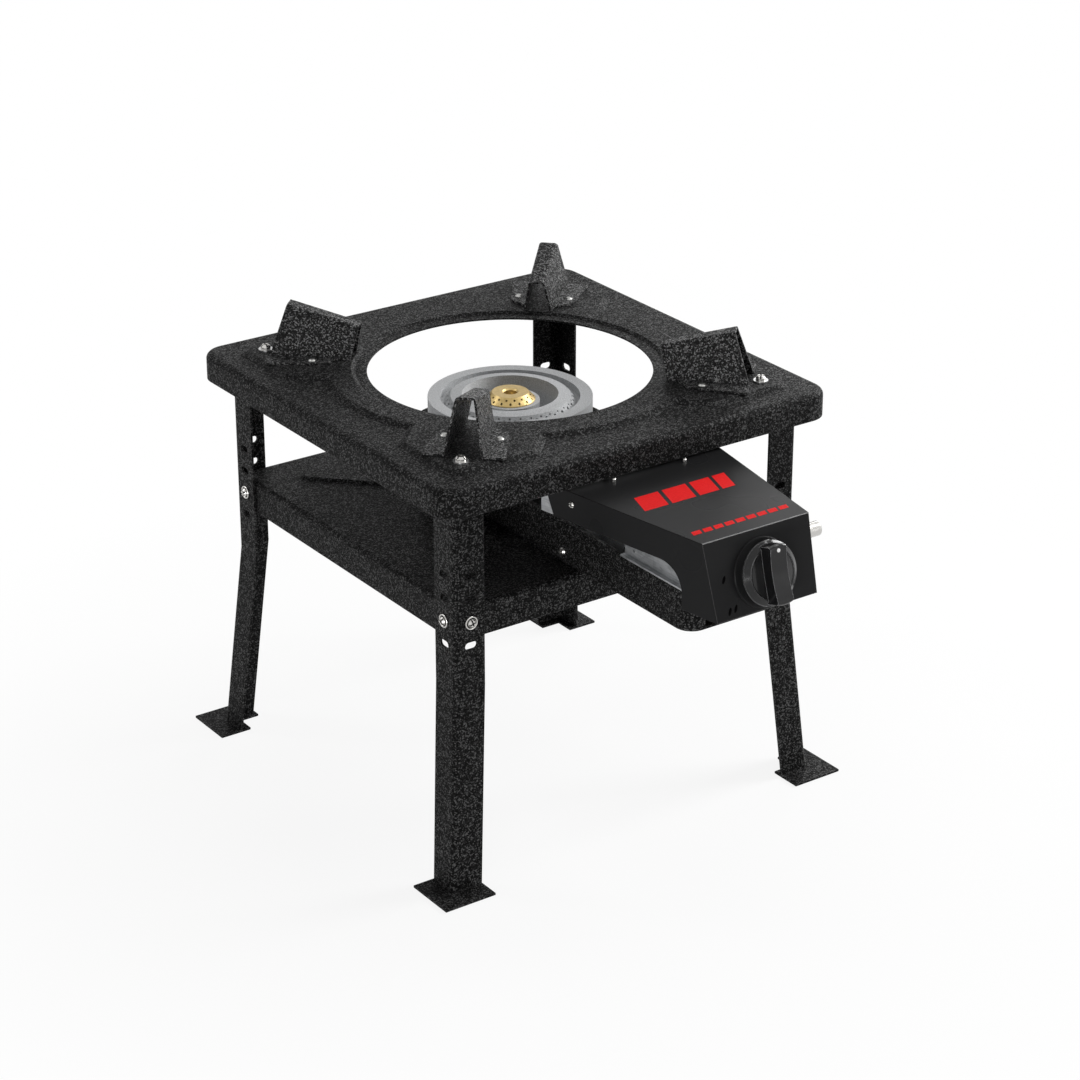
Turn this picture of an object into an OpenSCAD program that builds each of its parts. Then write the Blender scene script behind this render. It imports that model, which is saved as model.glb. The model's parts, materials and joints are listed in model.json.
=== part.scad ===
// Free-standing high-pressure gas stove with one round burner.
// A pressed square top plate stands on four splayed angle legs. Four folded pot
// supports are riveted to it. A tray bolted between the legs carries an open channel,
// which holds the burner casting, the valve bracket and the tap under a sheet cover.
// The floor is z = 0, the burner axis is vertical, and the tap faces -Y.

/* [Top plate] */
// Outer width and depth of the square plate
plate_w = 400; // [388:2:430]
// Height of the plate's flat top above the floor
plate_top = 371; // [355:1:395]
// Depth of the folded skirt
plate_skirt = 24.3; // [21:0.1:28]
// Radius of the plate's corners, seen from above
plate_corner_r = 22; // [16:1:28]
// Radius of the rounded top edge
plate_edge_r = 6; // [4:0.5:8]
// Sheet thickness of the plate
plate_t = 1.5; // [1.2:0.1:2]
// Radius of the round opening over the burner
hole_r = 125; // [118:1:130]
// Width of the flat ledge round the opening
ledge_w = 10; // [7:0.5:12]
// How far the ledge lies below the raised pad
ledge_drop = 2.3; // [1.5:0.1:3]
// Height of the raised pad that carries the pot supports
pad_rise = 3.5; // [2.5:0.1:5]
// Radius of the pad's round part, at its top
pad_ring_r = 158; // [150:1:162]
// Width of the pad's four diagonal arms, at their top
pad_arm_w = 106; // [90:1:114]
// Distance from the plate's edge to the pad's top edge
pad_margin = 30; // [27:1:34]
// Width of the pad's sloping border
pad_slope = 6; // [4:0.5:8]

/* [Pot supports] */
// Distance from the opening's edge to the support's inner foot
support_gap_in = 15; // [12:0.5:20]
// Height of the support's outer end above the pad
support_h_out = 46.5; // [38:0.5:60]
// Height of the support's inner end above the pad
support_h_in = 30; // [22:0.5:36]
// How far the outer end leans in at the top
support_lean_out = 15; // [10:1:22]
// How far the inner end leans over the opening at the top
support_lean_in = 7; // [3:0.5:10]
// Half width between the wings at the inner foot
support_half_in = 12.8; // [11:0.2:14]
// Half width between the wings at the outer foot
support_half_out = 17.4; // [16:0.2:21]
// Angle by which each wing leans inwards
support_wing_lean = 9.8; // [6:0.2:11]
// Outer radius of the bends between the top strip and the wings
support_bend_r = 3.5; // [2.5:0.5:4.5]
// Sheet thickness of the supports
support_t = 2; // [1.5:0.1:2.5]
// Sideways distance of the rivets from the support's middle
rivet_side = 23.3; // [22.5:0.1:25]
// Radius of the rivet heads
rivet_head_r = 3.6; // [3:0.1:4.2]

/* [Legs] */
// Distance from the plate's edge to the leg's outer face
leg_inset = 22; // [16:1:26]
// Width of each flange of the angle
leg_w = 29.4; // [27:0.2:34]
// Sheet thickness of the legs
leg_t = 2; // [1.6:0.1:2.6]
// Outer radius of the angle's bend
leg_bend_r = 4.5; // [3:0.5:6]
// Height of the bend where the leg starts to splay
leg_bend_z = 182; // [165:1:195]
// How far the foot stands out beyond the upper leg, each way
leg_splay = 15.2; // [8:0.2:20]
// Side length of the L-shaped foot plate
foot_w = 50; // [46:0.5:56]
// Width of the foot plate's arms
foot_arm_w = 30.5; // [28:0.5:34]
// How far the foot plate reaches beyond the leg
foot_reach = 20.3; // [15:0.1:22]
// Thickness of the foot plate
foot_t = 2; // [1.6:0.1:3]
// How far the lowest slot lies below the tray's top
slot_drop = 35; // [32:0.5:40]
// Distance between the slots of one flange
slot_pitch = 21; // [19:0.5:22]
// Number of slots in each flange
slot_count = 4; // [3:1:4]
// Length of a slot
slot_l = 12; // [9:0.5:13]
// Width of a slot
slot_w = 6.6; // [6:0.1:8]
// Distance from the leg's outer corner to the slots' middle
slot_inset = 16; // [14.5:0.5:18]

/* [Fasteners] */
// Distance from the plate's edge to a corner bolt
bolt_inset = 44.7; // [43:0.1:47]
// Shank radius of the corner bolts
bolt_r = 3; // [2.5:0.1:3.2]
// Head radius of the corner bolts
bolt_head_r = 5; // [4.6:0.1:5.6]
// Shank radius of the tray screws
screw_r = 2.5; // [2:0.1:2.8]
// Head radius of the tray screws
screw_head_r = 6; // [5:0.1:6.5]

/* [Tray] */
// How far the tray's flat top lies below the top plate
tray_drop = 116.5; // [113:0.5:120]
// Depth of the tray's skirt
tray_h = 29.5; // [27:0.5:32]
// Sheet thickness of the tray
tray_t = 1.2; // [1:0.1:1.6]
// Radius of the tray's corners, seen from above
tray_corner_r = 9; // [6:0.5:9]
// Radius of the tray's rounded top edge
tray_edge_r = 4; // [3:0.5:5]
// Height of the diagonal stiffening ribs
rib_h = 2.5; // [1.5:0.1:3.5]
// Width of the diagonal stiffening ribs
rib_w = 16; // [12:1:20]

/* [Channel] */
// Outer width of the open channel
channel_w = 96; // [92:1:102]
// Height of the channel's walls
channel_h = 38; // [35:0.5:40]
// Sheet thickness of the channel
channel_t = 2; // [1.5:0.1:2.5]
// How far the channel stands out in front of the top plate
channel_reach = 120; // [112:1:124]
// How far the channel reaches behind the burner axis
channel_back = 64; // [56:1:80]
// Radius of the channel's front corners
channel_corner_r = 15; // [10:1:18]

/* [Burner] */
// Outer radius of the ring burner
ring_r = 72.5; // [68:0.5:78]
// Height of the ring's outer rim above the tray
ring_rim_h = 92; // [88:0.5:96]
// Inner radius of the ring's flat outer rim
ring_rim_in_r = 61.5; // [60:0.5:64]
// Radius of the bowl's lip
bowl_r = 42.4; // [40:0.2:46]
// Outer radius of the middle hub
hub_r = 26; // [25:0.2:28]
// Radius of the hub's gas bore
hub_bore_r = 17; // [15:0.2:18]
// Number of large ports in the ring's slope, with as many small ones between them
port_count = 36; // [30:1:38]
// Radius of the ring's large ports
port_r = 1.3; // [1.1:0.05:1.5]
// Number of ports in each of the cap's two rows
cap_port_count = 16; // [12:1:18]
// Height of the brass cap
cap_h = 7; // [6:0.1:9]
// Base radius of the brass cap
cap_r = 22.1; // [21:0.1:24]
// Radius of the brass cap's flat top
cap_top_r = 16; // [14:0.2:17]
// Radius of the hole in the brass cap
cap_hole_r = 7.4; // [6:0.1:8]
// Rim radius of the dish under the burner
dish_r = 97; // [92:1:104]
// Height of the dish's sloping wall
dish_h = 17.5; // [14:0.5:20]
// Sideways distance of each mixing tube from the middle
tube_side = 18; // [17.5:0.1:20]
// Outer radius of the mixing tubes
tube_r = 12; // [11:0.2:13]
// Height of the mixing tubes' middle above the channel's floor
tube_h = 20.5; // [19:0.5:23]
// Distance from the burner axis to the mixing tubes' mouths
tube_len = 210; // [200:1:214]

/* [Control cover] */
// How far the cover stands out in front of the top plate
cover_reach = 143.4; // [138:0.2:152]
// Half width of the cover at its front edge
cover_half_front = 54; // [52:0.5:60]
// Angle by which the cover's sides spread towards the back
cover_taper = 9.72; // [8:0.02:11]
// Gap between the skirt's lower edge and the cover's top
cover_gap = 2.2; // [1:0.1:4]
// How far the cover's top reaches back under the top plate
cover_back = 30; // [24:0.5:36]
// Height of the cover's front face, measured along it
face_len = 66; // [62:0.5:72]
// Angle by which the front face tilts upwards
face_tilt = 15.9; // [12:0.1:18]
// Depth of the cover's side walls behind the cut-out
side_h = 27; // [24:0.5:30]
// Angle by which the side walls' rear edges slant forwards
side_slant = 23; // [10:1:30]
// Sheet thickness of the cover
cover_t = 1.2; // [1:0.1:1.5]

/* [Tap] */
// Distance from the front face's top edge down to the knob's axis
axis_drop = 36; // [34:0.2:38]
// Radius of the knob's skirt
knob_r = 26.8; // [24:0.2:28]
// Distance from the cover to the knob's front
knob_front = 25.5; // [22:0.5:28]
// Gap between the cover and the knob's back
knob_back = 6; // [5.6:0.1:7]
// Width of the knob's grip bar
grip_w = 16; // [12:0.5:18]
// Depth of the hollow along the front of the grip bar
grip_dish = 2.2; // [1:0.1:2.6]
// How far the knob can be pushed in
knob_travel = 3; // [2:0.1:3.2]
// Radius of the bezel behind the knob
bezel_r = 28.8; // [28:0.1:31]
// Radius of the tap's spindle
stem_r = 4; // [3.4:0.1:4.4]
// Outer radius of the tap's body
valve_r = 14; // [13:0.2:15]
// Radius of the gas inlet's plain end
inlet_r = 6.4; // [5.5:0.1:6.8]
// Distance from the middle to the end of the gas inlet
inlet_reach = 104; // [98:1:115]

/* [Hidden] */
$fn = 64;

// Radial clearance of a running fit, and of a loose hole round a fastener
run = 0.06;
loose = 0.3;
// Radial play left between a thread and the metal it is cut in
tapped = 0.02;
// Small overlap that lets one cut run past a face
cut = 1;

// Sheet colours
black_coat = "#1d1d1e";
satin_black = "#262626";
zinc = "#b9bcbd";
bright = "#d5d6d4";
cast_metal = "#b7b9bb";
brass_tone = "#d9b95c";

// Top plate
tray_top = plate_top - tray_drop;
plate_low = plate_top - plate_skirt;
under_flat = plate_top - plate_t;
pad_top = plate_top + pad_rise;
under_pad = pad_top - plate_t;
ledge_z = pad_top - ledge_drop;
pad_half = plate_w / 2 - pad_margin;
pad_tip_r = pad_half * sqrt(2) - 5;
bolt_at = plate_w / 2 - bolt_inset;
bolt_u = bolt_at * sqrt(2);
bolt_hole_r = bolt_r + loose;
bolt_nut_h = 5;

// Pot supports, measured outwards along the diagonal
washer_r = bolt_head_r + 1.5;
washer_t = 1.2;
support_in = hole_r + support_gap_in;
support_out = bolt_u - washer_r - 1.1;
support_len = support_out - support_in;
wing_spread = atan((support_half_out - support_half_in) / support_len);
support_rise = (support_h_out - support_h_in) / (support_len - support_lean_out + support_lean_in);
support_reach = support_h_out + support_len + plate_w / 4;
rivet_u = support_in + support_len * 0.44;
rivet_r = 2.4;
flange_side = rivet_side + rivet_head_r + 2.6;

// Legs
leg_out = plate_w / 2 - leg_inset;
leg_in = leg_out - leg_t;
foot_out = leg_out + leg_splay + foot_reach;
splay_angle = atan(leg_splay * sqrt(2) / (leg_bend_z - foot_t));
tab_w = leg_out - bolt_at + bolt_head_r + 12;
tab_low = under_flat - leg_t;
spacer_h = under_pad - under_flat;
slot_z = tray_top - slot_drop;
tray_screw_z = slot_z + slot_pitch;

// Tray
tray_half = leg_in - 0.5;
tray_low = tray_top - tray_h;

// Channel
floor_z = tray_top + channel_t;
channel_top = tray_top + channel_h;
channel_front = plate_w / 2 + channel_reach;
channel_half = channel_w / 2;
channel_inner = channel_half - channel_t;
channel_screw_x = channel_inner - 9;
channel_screw_y = [-plate_w / 2 + 60, channel_back - 12];
channel_screw_r = 2;
small_head_r = 3.8;
small_head_h = 2.6;
small_recess_r = 1.6;
jet_screw_x = channel_inner - 14;
saddle_screw_r = 1.9;
saddle_t = 1.5;

// Burner
tube_z = floor_z + tube_h;
rim_z = tray_top + ring_rim_h;
body_top = rim_z - 28.5;
body_floor = channel_top + 5;
lip_z = rim_z + 2;
slope_foot_r = ring_rim_in_r - 3;
slope_foot_z = rim_z - 6.5;
slope_top_r = ring_rim_in_r - 9;
slope_top_z = lip_z - 1.4;
bowl_depth = 21.5;
burner_lug_x = 22;
burner_lug_r = 7;
burner_lug_h = 5;
burner_screw_r = 2.5;
cap_base = rim_z - 3.5;
hub_top = cap_base;
ring_seat_r = 32;
chamber_r = ring_r - 6.2;
neck_r = 34;
burner_lug_y = neck_r + 8;
tube_bore_r = tube_r - 3;
feed_y = -44;
dish_flat_r = ring_r + 5;
dish_hole_r = neck_r + 1;
dish_t = 1.2;
mouth_r = tube_r + 4.5;
saddle_y = -148;
saddle_half = channel_inner - 0.3;
saddle_screw_z = floor_z + 7;
jet_gap = 14;
jet_y = -tube_len - jet_gap;
jet_thread_r = 4.5;
jet_bore_r = 2.2;
jet_hex_h = 5;
jet_bracket_w = 2 * tube_side + 24;
jet_foot_d = 20;
jet_screw_y = jet_y - 11;
jet_bracket_t = 1.5;
shutter_t = 1.2;
shutter_y = -tube_len - 0.1;
nozzle_r = 3.4;

// Control cover and the plane of its front face
cover_top = plate_low - cover_gap;
cover_front = -(plate_w / 2 + cover_reach);
cover_rear = -(plate_w / 2 - cover_back);
face_low_y = cover_front - face_len * sin(face_tilt);
face_low_z = cover_top - face_len * cos(face_tilt);
axis_y = cover_front - axis_drop * sin(face_tilt);
axis_z = cover_top - axis_drop * cos(face_tilt);
side_low = cover_top - side_h;
stud_x = 36;
stud_r = 2.4;
stud_y = -(plate_w / 2 - plate_edge_r - stud_r - 0.4);
cover_screw_y = -(plate_w / 2 + 2.5);
cover_screw_z = cover_top - 10.7;
pin_x = 36.5;
pin_y = -(plate_w / 2 + 2.8);
pin_r = 1.7;

// Valve bracket
bracket_t = 1.5;
bracket_half = channel_inner + 0.5;
front_plate_half = bracket_half - 0.5;
bracket_lip = 5;
bracket_wall_y = -(plate_w / 2 + 33);
bracket_top = cover_top - cover_t;
bracket_front_s = 3.5;
bracket_rear = cover_rear + 4;
tab_front = cover_screw_y - 12;

// Tap, measured along the knob's axis from the cover's outer face
bezel_t = 1.6;
flange_s = bracket_front_s + bracket_t;
gland_s = flange_s + 7;
gland_t = 3;
collar_t = 1.6;
collar_r = 6.6;
spring_len = knob_travel + 3;
plug_s = gland_s + gland_t + collar_t + 0.2 + spring_len;
plug_len = 27;
plug_r1 = 8;
plug_r2 = 6.4;
stem_in = plug_s + 6;
body_end = plug_s + plug_len + 14;
inlet_s = body_end - 8;
inlet_up = 7;
outlet_x = 10;
outlet_drop = 6;
boss_r = 8.4;
gas_way_r = 4;
pipe_r = 3.2;
union_r = 5.2;
ear_r = 4.6;
valve_flange_t = 4;
side_screw_r = 1.9;
side_head_r = 3.6;
side_head_h = 2.4;
inlet_hex_r = 8.6;
valve_ear = valve_r + 6;
inlet_point = tap_point(0, inlet_up, inlet_s);

// The stove is set so that the origin lies under the middle of its whole outline
knob_edge_r = 2.5;
grip_r = knob_r - 2;
knob_reach = (grip_r - knob_edge_r) * sin(face_tilt) + (knob_front - knob_edge_r) * cos(face_tilt);
front_reach = -axis_y + knob_reach + knob_edge_r;
stand_y = (front_reach - foot_out) / 2;

module stand() {
    translate([0, stand_y, 0]) children();
}

// Square with round corners, exact arcs
module round_rect(w, d, r) {
    square([w - 2 * r, d], center = true);
    square([w, d - 2 * r], center = true);
    for (x = [-1, 1], y = [-1, 1])
        translate([x * (w / 2 - r), y * (d / 2 - r)]) circle(r);
}

// Cross-section of a rounded top edge, w wide over all
module edge_profile(w, r) {
    translate([-w / 2 + r, 0]) square([w - 2 * r, r]);
    for (x = [-1, 1])
        intersection() {
            translate([x * (w / 2 - r), 0]) circle(r);
            translate([-w / 2, 0]) square([w, r]);
        }
}

// Square block with round corners and a rounded top edge
module soft_block(w, h, corner_r, edge_r) {
    linear_extrude(h - edge_r) round_rect(w, w, corner_r);
    translate([0, 0, h - edge_r]) {
        for (a = [0, 90])
            rotate(a) rotate([90, 0, 0])
                linear_extrude(w - 2 * corner_r, center = true) edge_profile(w, edge_r);
        for (x = [-1, 1], y = [-1, 1])
            translate([x * (w / 2 - corner_r), y * (w / 2 - corner_r), 0])
                rotate_extrude()
                    intersection() {
                        edge_profile(2 * corner_r, edge_r);
                        square([corner_r, edge_r]);
                    }
    }
}

// Long bar with sloping sides, along X, whose foot reaches a little below z = 0
module sloped_bar(half_top, slope, h, len) {
    foot = half_top + slope * (1 + cut / h);
    rotate([90, 0, 90])
        linear_extrude(len, center = true)
            polygon([[-foot, -cut], [foot, -cut], [half_top, h], [-half_top, h]]);
}

module sloped_disc(r_top, slope, h) {
    translate([0, 0, -cut]) cylinder(r1 = r_top + slope * (1 + cut / h), r2 = r_top, h = h + cut);
}

// Raised pad: a disc with four arms towards the corners
module pad() {
    sloped_disc(pad_ring_r, pad_slope, pad_rise);
    intersection() {
        union()
            for (a = [45, 135])
                rotate(a) sloped_bar(pad_arm_w / 2, pad_slope, pad_rise, 2 * pad_tip_r + 40);
        sloped_bar(pad_half, pad_slope, pad_rise, plate_w);
        rotate(90) sloped_bar(pad_half, pad_slope, pad_rise, plate_w);
        sloped_disc(pad_tip_r, pad_slope, pad_rise);
    }
}

// Places something at each corner, with +X turned outwards along the diagonal
module at_corners(u) {
    for (a = [45, 135, 225, 315]) rotate(a) translate([u, 0, 0]) children();
}

module top_plate() {
    color(black_coat) stand() difference() {
        union() {
            translate([0, 0, plate_low])
                soft_block(plate_w, plate_skirt, plate_corner_r, plate_edge_r);
            translate([0, 0, plate_top]) pad();
        }
        translate([0, 0, plate_low - cut])
            soft_block(plate_w - 2 * plate_t, plate_skirt - plate_t + cut,
                plate_corner_r - plate_t, plate_edge_r - plate_t);
        difference() {
            translate([0, 0, under_flat]) pad();
            translate([0, 0, plate_low])
                cylinder(r = hole_r + ledge_w + plate_t, h = plate_skirt * 2);
        }
        translate([0, 0, under_flat - cut])
            cylinder(r = hole_r + ledge_w, h = ledge_z - plate_t - under_flat + cut);
        translate([0, 0, ledge_z])
            cylinder(r1 = hole_r + ledge_w, r2 = hole_r + ledge_w + ledge_drop * 1.5 * 1.5,
                h = ledge_drop * 1.5);
        translate([0, 0, plate_low]) cylinder(r = hole_r, h = plate_skirt * 2, $fn = 96);
        at_corners(bolt_u)
            translate([0, 0, plate_low]) cylinder(r = bolt_hole_r, h = plate_skirt * 2);
        at_corners(rivet_u)
            for (v = [-1, 1])
                translate([0, v * rivet_side, plate_low])
                    cylinder(r = rivet_r + 0.1, h = plate_skirt * 2);
    }
}

// Tapered tent between the two leaning wings of a pot support, open at both ends
module support_tent(inset) {
    reach = inset > 0 ? 30 : 0;
    intersection() {
        rotate([90, 0, 0])
            linear_extrude(4 * support_half_out, center = true)
                polygon([
                    [support_in - reach, -reach / 10],
                    [support_out + reach, -reach / 10],
                    [support_out - support_lean_out + reach, support_h_out - inset + reach * support_rise],
                    [support_in - support_lean_in - reach, support_h_in - inset - reach * support_rise]
                ]);
        wing_side(inset);
        mirror([0, 1, 0]) wing_side(inset);
    }
}

// Everything on the inner side of one leaning wing
module wing_side(inset) {
    translate([support_in, support_half_in - inset, 0])
        rotate(wing_spread)
            rotate([support_wing_lean, 0, 0])
                translate([-support_reach, -support_reach, -support_reach])
                    cube([2 * support_reach, support_reach, 2 * support_reach]);
}

// Unit vectors across the top strip and across one wing, and the end of the bend between them
function strip_normal() = [-support_rise, 0, 1] / norm([-support_rise, 0, 1]);
function wing_normal() = [
    -sin(wing_spread) * cos(support_wing_lean),
    cos(wing_spread) * cos(support_wing_lean),
    sin(support_wing_lean)
];
function bend_start() =
    let (u = -support_lean_in, n = wing_normal())
    [support_in + u, support_half_in - (n[0] * u + n[2] * support_h_in) / n[1], support_h_in];

// Everything below one of the narrow faces that round the bend, at a share of its angle
module bend_side(share) {
    fold = acos(strip_normal() * wing_normal());
    n = (sin((1 - share) * fold) * strip_normal() + sin(share * fold) * wing_normal()) / sin(fold);
    centre = bend_start() - support_bend_r / (1 + cos(fold)) * (strip_normal() + wing_normal());
    translate(centre + support_bend_r * n)
        rotate([0, acos(n[2]), atan2(n[1], n[0])])
            translate([-support_reach, -support_reach, -support_reach])
                cube([2 * support_reach, 2 * support_reach, support_reach]);
}

module support_flange() {
    difference() {
        union() {
            for (s = [-1, 1]) mirror([0, s < 0 ? 1 : 0, 0])
                linear_extrude(support_t)
                    polygon([
                        [support_in + 7, support_half_in - 2],
                        [support_out, support_half_out - 2],
                        [support_out, flange_side + 4],
                        [support_out - 3, flange_side + 6],
                        [support_in + 24, flange_side],
                        [support_in + 19, flange_side - 2]
                    ]);
        }
        translate([0, 0, -cut]) linear_extrude(support_t + 2 * cut)
            polygon([
                [support_in - cut, -support_half_in + 1.8],
                [support_out + cut, -support_half_out + 1.8],
                [support_out + cut, support_half_out - 1.8],
                [support_in - cut, support_half_in - 1.8]
            ]);
    }
}

// One folded pot support: two wings under a sloping top strip, with riveted flanges
module pot_support(angle) {
    color(black_coat) stand() translate([0, 0, pad_top]) rotate(angle) difference() {
        union() {
            difference() {
                intersection() {
                    support_tent(0);
                    bend_side(1 / 3);
                    bend_side(2 / 3);
                    mirror([0, 1, 0]) bend_side(1 / 3);
                    mirror([0, 1, 0]) bend_side(2 / 3);
                }
                support_tent(support_t);
            }
            support_flange();
        }
        for (v = [-1, 1])
            translate([rivet_u, v * rivet_side, -cut])
                cylinder(r = rivet_r + 0.1, h = support_t + 2 * cut);
    }
}

module pot_support_front_left() pot_support(225);
module pot_support_front_right() pot_support(315);
module pot_support_back_left() pot_support(135);
module pot_support_back_right() pot_support(45);

module support_rivets() {
    head_h = 1.3;
    color(bright) stand() at_corners(rivet_u)
        for (v = [-1, 1]) translate([0, v * rivet_side, 0]) {
            translate([0, 0, pad_top + support_t])
                cylinder(r1 = rivet_head_r, r2 = rivet_head_r * 0.6, h = head_h);
            translate([0, 0, under_pad - 1.4])
                cylinder(r = rivet_r, h = plate_t + support_t + 1.4 + head_h / 2);
            translate([0, 0, under_pad - 1.4])
                cylinder(r = rivet_head_r, h = 1.4);
        }
}

// Cross-section of a leg: an angle with a round bend, its outer corner at the origin
module angle_section(w, t, r) {
    difference() {
        union() {
            translate([r, 0]) square([w - r, w]);
            translate([0, r]) square([w, w - r]);
            translate([r, r]) circle(r);
        }
        union() {
            translate([r, t]) square([w, w]);
            translate([t, r]) square([w, w]);
            translate([r, r]) circle(r - t);
        }
    }
}

// Slot along Y through one flange of a leg
module leg_slot() {
    rotate([90, 0, 90]) translate([0, 0, -3 * leg_t]) linear_extrude(6 * leg_t)
        for (y = [-1, 1]) {
            translate([y * (slot_l - slot_w) / 2, 0]) circle(slot_w / 2);
            square([slot_l - slot_w, slot_w], center = true);
        }
}

// One leg, drawn with its outer corner towards -X -Y
module leg_form() {
    difference() {
        union() {
            translate([-leg_out, -leg_out, leg_bend_z])
                linear_extrude(under_flat - leg_bend_z) angle_section(leg_w, leg_t, leg_bend_r);
            intersection() {
                translate([-leg_out, -leg_out, leg_bend_z])
                    rotate(45) rotate([0, splay_angle, 0]) rotate(-45)
                        translate([0, 0, -leg_bend_z - 30])
                            linear_extrude(leg_bend_z + 50)
                                angle_section(leg_w, leg_t, leg_bend_r);
                translate([-plate_w, -plate_w, foot_t - 0.5])
                    cube([plate_w, plate_w, leg_bend_z - foot_t + 0.5]);
            }
            translate([-leg_out + leg_t / 2, -leg_out + leg_t / 2, tab_low])
                linear_extrude(leg_t)
                    difference() {
                        square(tab_w);
                        translate([tab_w, tab_w]) rotate(45) square(16, center = true);
                    }
            difference() {
                translate([-foot_out, -foot_out, 0]) cube([foot_w, foot_w, foot_t]);
                translate([-foot_out + foot_arm_w, -foot_out + foot_arm_w, -cut])
                    cube([foot_w, foot_w, foot_t + 2 * cut]);
            }
        }
        for (i = [0 : slot_count - 1], m = [0, 1])
            mirror([m, -m, 0])
                translate([-leg_out, -leg_out + slot_inset, slot_z + i * slot_pitch]) leg_slot();
        translate([-bolt_at, -bolt_at, tab_low - cut]) cylinder(r = bolt_hole_r, h = leg_t + 2 * cut);
    }
}

module leg(mx, my) {
    color(black_coat) stand() mirror([mx, 0, 0]) mirror([0, my, 0]) leg_form();
}

module leg_front_left() leg(0, 0);
module leg_front_right() leg(1, 0);
module leg_back_left() leg(0, 1);
module leg_back_right() leg(1, 1);

// Hexagon nut under a face at z = 0
module nut(across, h, bore_r) {
    translate([0, 0, -h]) difference() {
        cylinder(r = across / 2 / cos(30), h = h, $fn = 6);
        translate([0, 0, -cut]) cylinder(r = bore_r, h = h + 2 * cut);
    }
}

// Button head on a face at z = 0, with a cross or hexagon recess
module button_head(r, h, recess_r) {
    difference() {
        union() {
            cylinder(r = r, h = h * 0.4);
            translate([0, 0, h * 0.4]) cylinder(r1 = r, r2 = r * 0.62, h = h * 0.6);
        }
        translate([0, 0, h * 0.45]) cylinder(r = recess_r, h = h, $fn = 6);
    }
}

module corner_bolts() {
    head_z = pad_top + washer_t;
    bolt_end = tab_low - bolt_nut_h - 4;
    color(bright) stand() at_corners(bolt_u) {
        translate([0, 0, head_z]) button_head(bolt_head_r, 3.8, 2.3);
        translate([0, 0, bolt_end]) cylinder(r = bolt_r, h = head_z - bolt_end + 0.5);
    }
}

module corner_washers() {
    color(bright) stand() at_corners(bolt_u) {
        translate([0, 0, pad_top]) difference() {
            cylinder(r = washer_r, h = washer_t);
            translate([0, 0, -cut]) cylinder(r = bolt_r + 0.1, h = washer_t + 2 * cut);
        }
        translate([0, 0, under_flat]) difference() {
            cylinder(r = washer_r, h = spacer_h);
            translate([0, 0, -cut]) cylinder(r = bolt_r + 0.1, h = spacer_h + 2 * cut);
        }
    }
}

module corner_nuts() {
    color(bright) stand() at_corners(bolt_u)
        translate([0, 0, tab_low]) nut(10, bolt_nut_h, bolt_r + tapped);
}

// Places something at the eight tray screws, with +Z turned out of the leg's face
module at_tray_screws() {
    for (a = [0, 90, 180, 270], s = [-1, 1])
        rotate(a) translate([s * (leg_out - slot_inset), -leg_out, tray_screw_z])
            rotate([90, 0, 0]) children();
}

module tray_screws() {
    color(bright) stand() at_tray_screws() {
        button_head(screw_head_r, 3.4, 2.2);
        translate([0, 0, -leg_t - tray_t - 7]) cylinder(r = screw_r, h = leg_t + tray_t + 7.5);
    }
}

module tray_nuts() {
    color(bright) stand() at_tray_screws()
        translate([0, 0, tray_half - tray_t - leg_out]) rotate(30) nut(8, 4, screw_r + tapped);
}

module drip_tray() {
    rib_r = tray_half - 45;
    color(black_coat) stand() difference() {
        union() {
            translate([0, 0, tray_low]) soft_block(2 * tray_half, tray_h, tray_corner_r, tray_edge_r);
            translate([0, 0, tray_top]) tray_ribs(rib_r);
        }
        translate([0, 0, tray_low - cut])
            soft_block(2 * (tray_half - tray_t), tray_h - tray_t + cut,
                tray_corner_r - tray_t, tray_edge_r - tray_t);
        translate([0, 0, tray_top - tray_t]) tray_ribs(rib_r);
        at_tray_screws() translate([0, 0, -12]) cylinder(r = screw_r + loose, h = 14);
        for (x = [-1, 1], y = channel_screw_y)
            translate([x * channel_screw_x, y, tray_top - 10])
                cylinder(r = channel_screw_r + loose, h = 20);
    }
}

// Diagonal ribs in the tray, each from near the channel to near a corner
module tray_ribs(rib_r) {
    inner = (channel_half + rib_w / 2 + 3) * sqrt(2);
    outer = rib_r * sqrt(2);
    for (a = [45, 135, 225, 315]) rotate(a) {
        translate([(inner + outer) / 2, 0, 0])
            sloped_bar(rib_w / 2 - 3, 3, rib_h, outer - inner);
        for (u = [inner, outer]) translate([u, 0, 0]) sloped_disc(rib_w / 2 - 3, 3, rib_h);
    }
}

// Plan of the channel: straight sides, round front corners
module channel_plan(half, front, back, r) {
    translate([-half, -front + r]) square([2 * half, front + back - r]);
    translate([-half + r, -front]) square([2 * half - 2 * r, r + cut]);
    for (x = [-1, 1]) translate([x * (half - r), -front + r]) circle(r);
}

module burner_channel() {
    mouth = 2 * (channel_half - channel_corner_r - 3);
    color(black_coat) stand() difference() {
        translate([0, 0, tray_top]) linear_extrude(channel_h)
            channel_plan(channel_half, channel_front, channel_back, channel_corner_r);
        translate([0, 0, floor_z]) linear_extrude(channel_h)
            channel_plan(channel_inner, channel_front - channel_t, channel_back - channel_t,
                channel_corner_r - channel_t);
        translate([-mouth / 2, -channel_front - cut, floor_z])
            cube([mouth, channel_corner_r, channel_h]);
        for (x = [-1, 1], y = channel_screw_y)
            translate([x * channel_screw_x, y, tray_top - cut])
                cylinder(r = channel_screw_r + loose, h = channel_t + 2 * cut);
        for (x = [-1, 1]) {
            translate([x * channel_half, saddle_y, saddle_screw_z])
                rotate([0, 90, 0]) cylinder(r = 2 + loose, h = 10, center = true);
            translate([x * jet_screw_x, jet_screw_y, tray_top - cut])
                cylinder(r = 2 + tapped, h = channel_t + 2 * cut);
            translate([x * burner_lug_x, burner_lug_y, tray_top - cut])
                cylinder(r = burner_screw_r + tapped, h = channel_t + 2 * cut);
        }
    }
}

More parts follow.
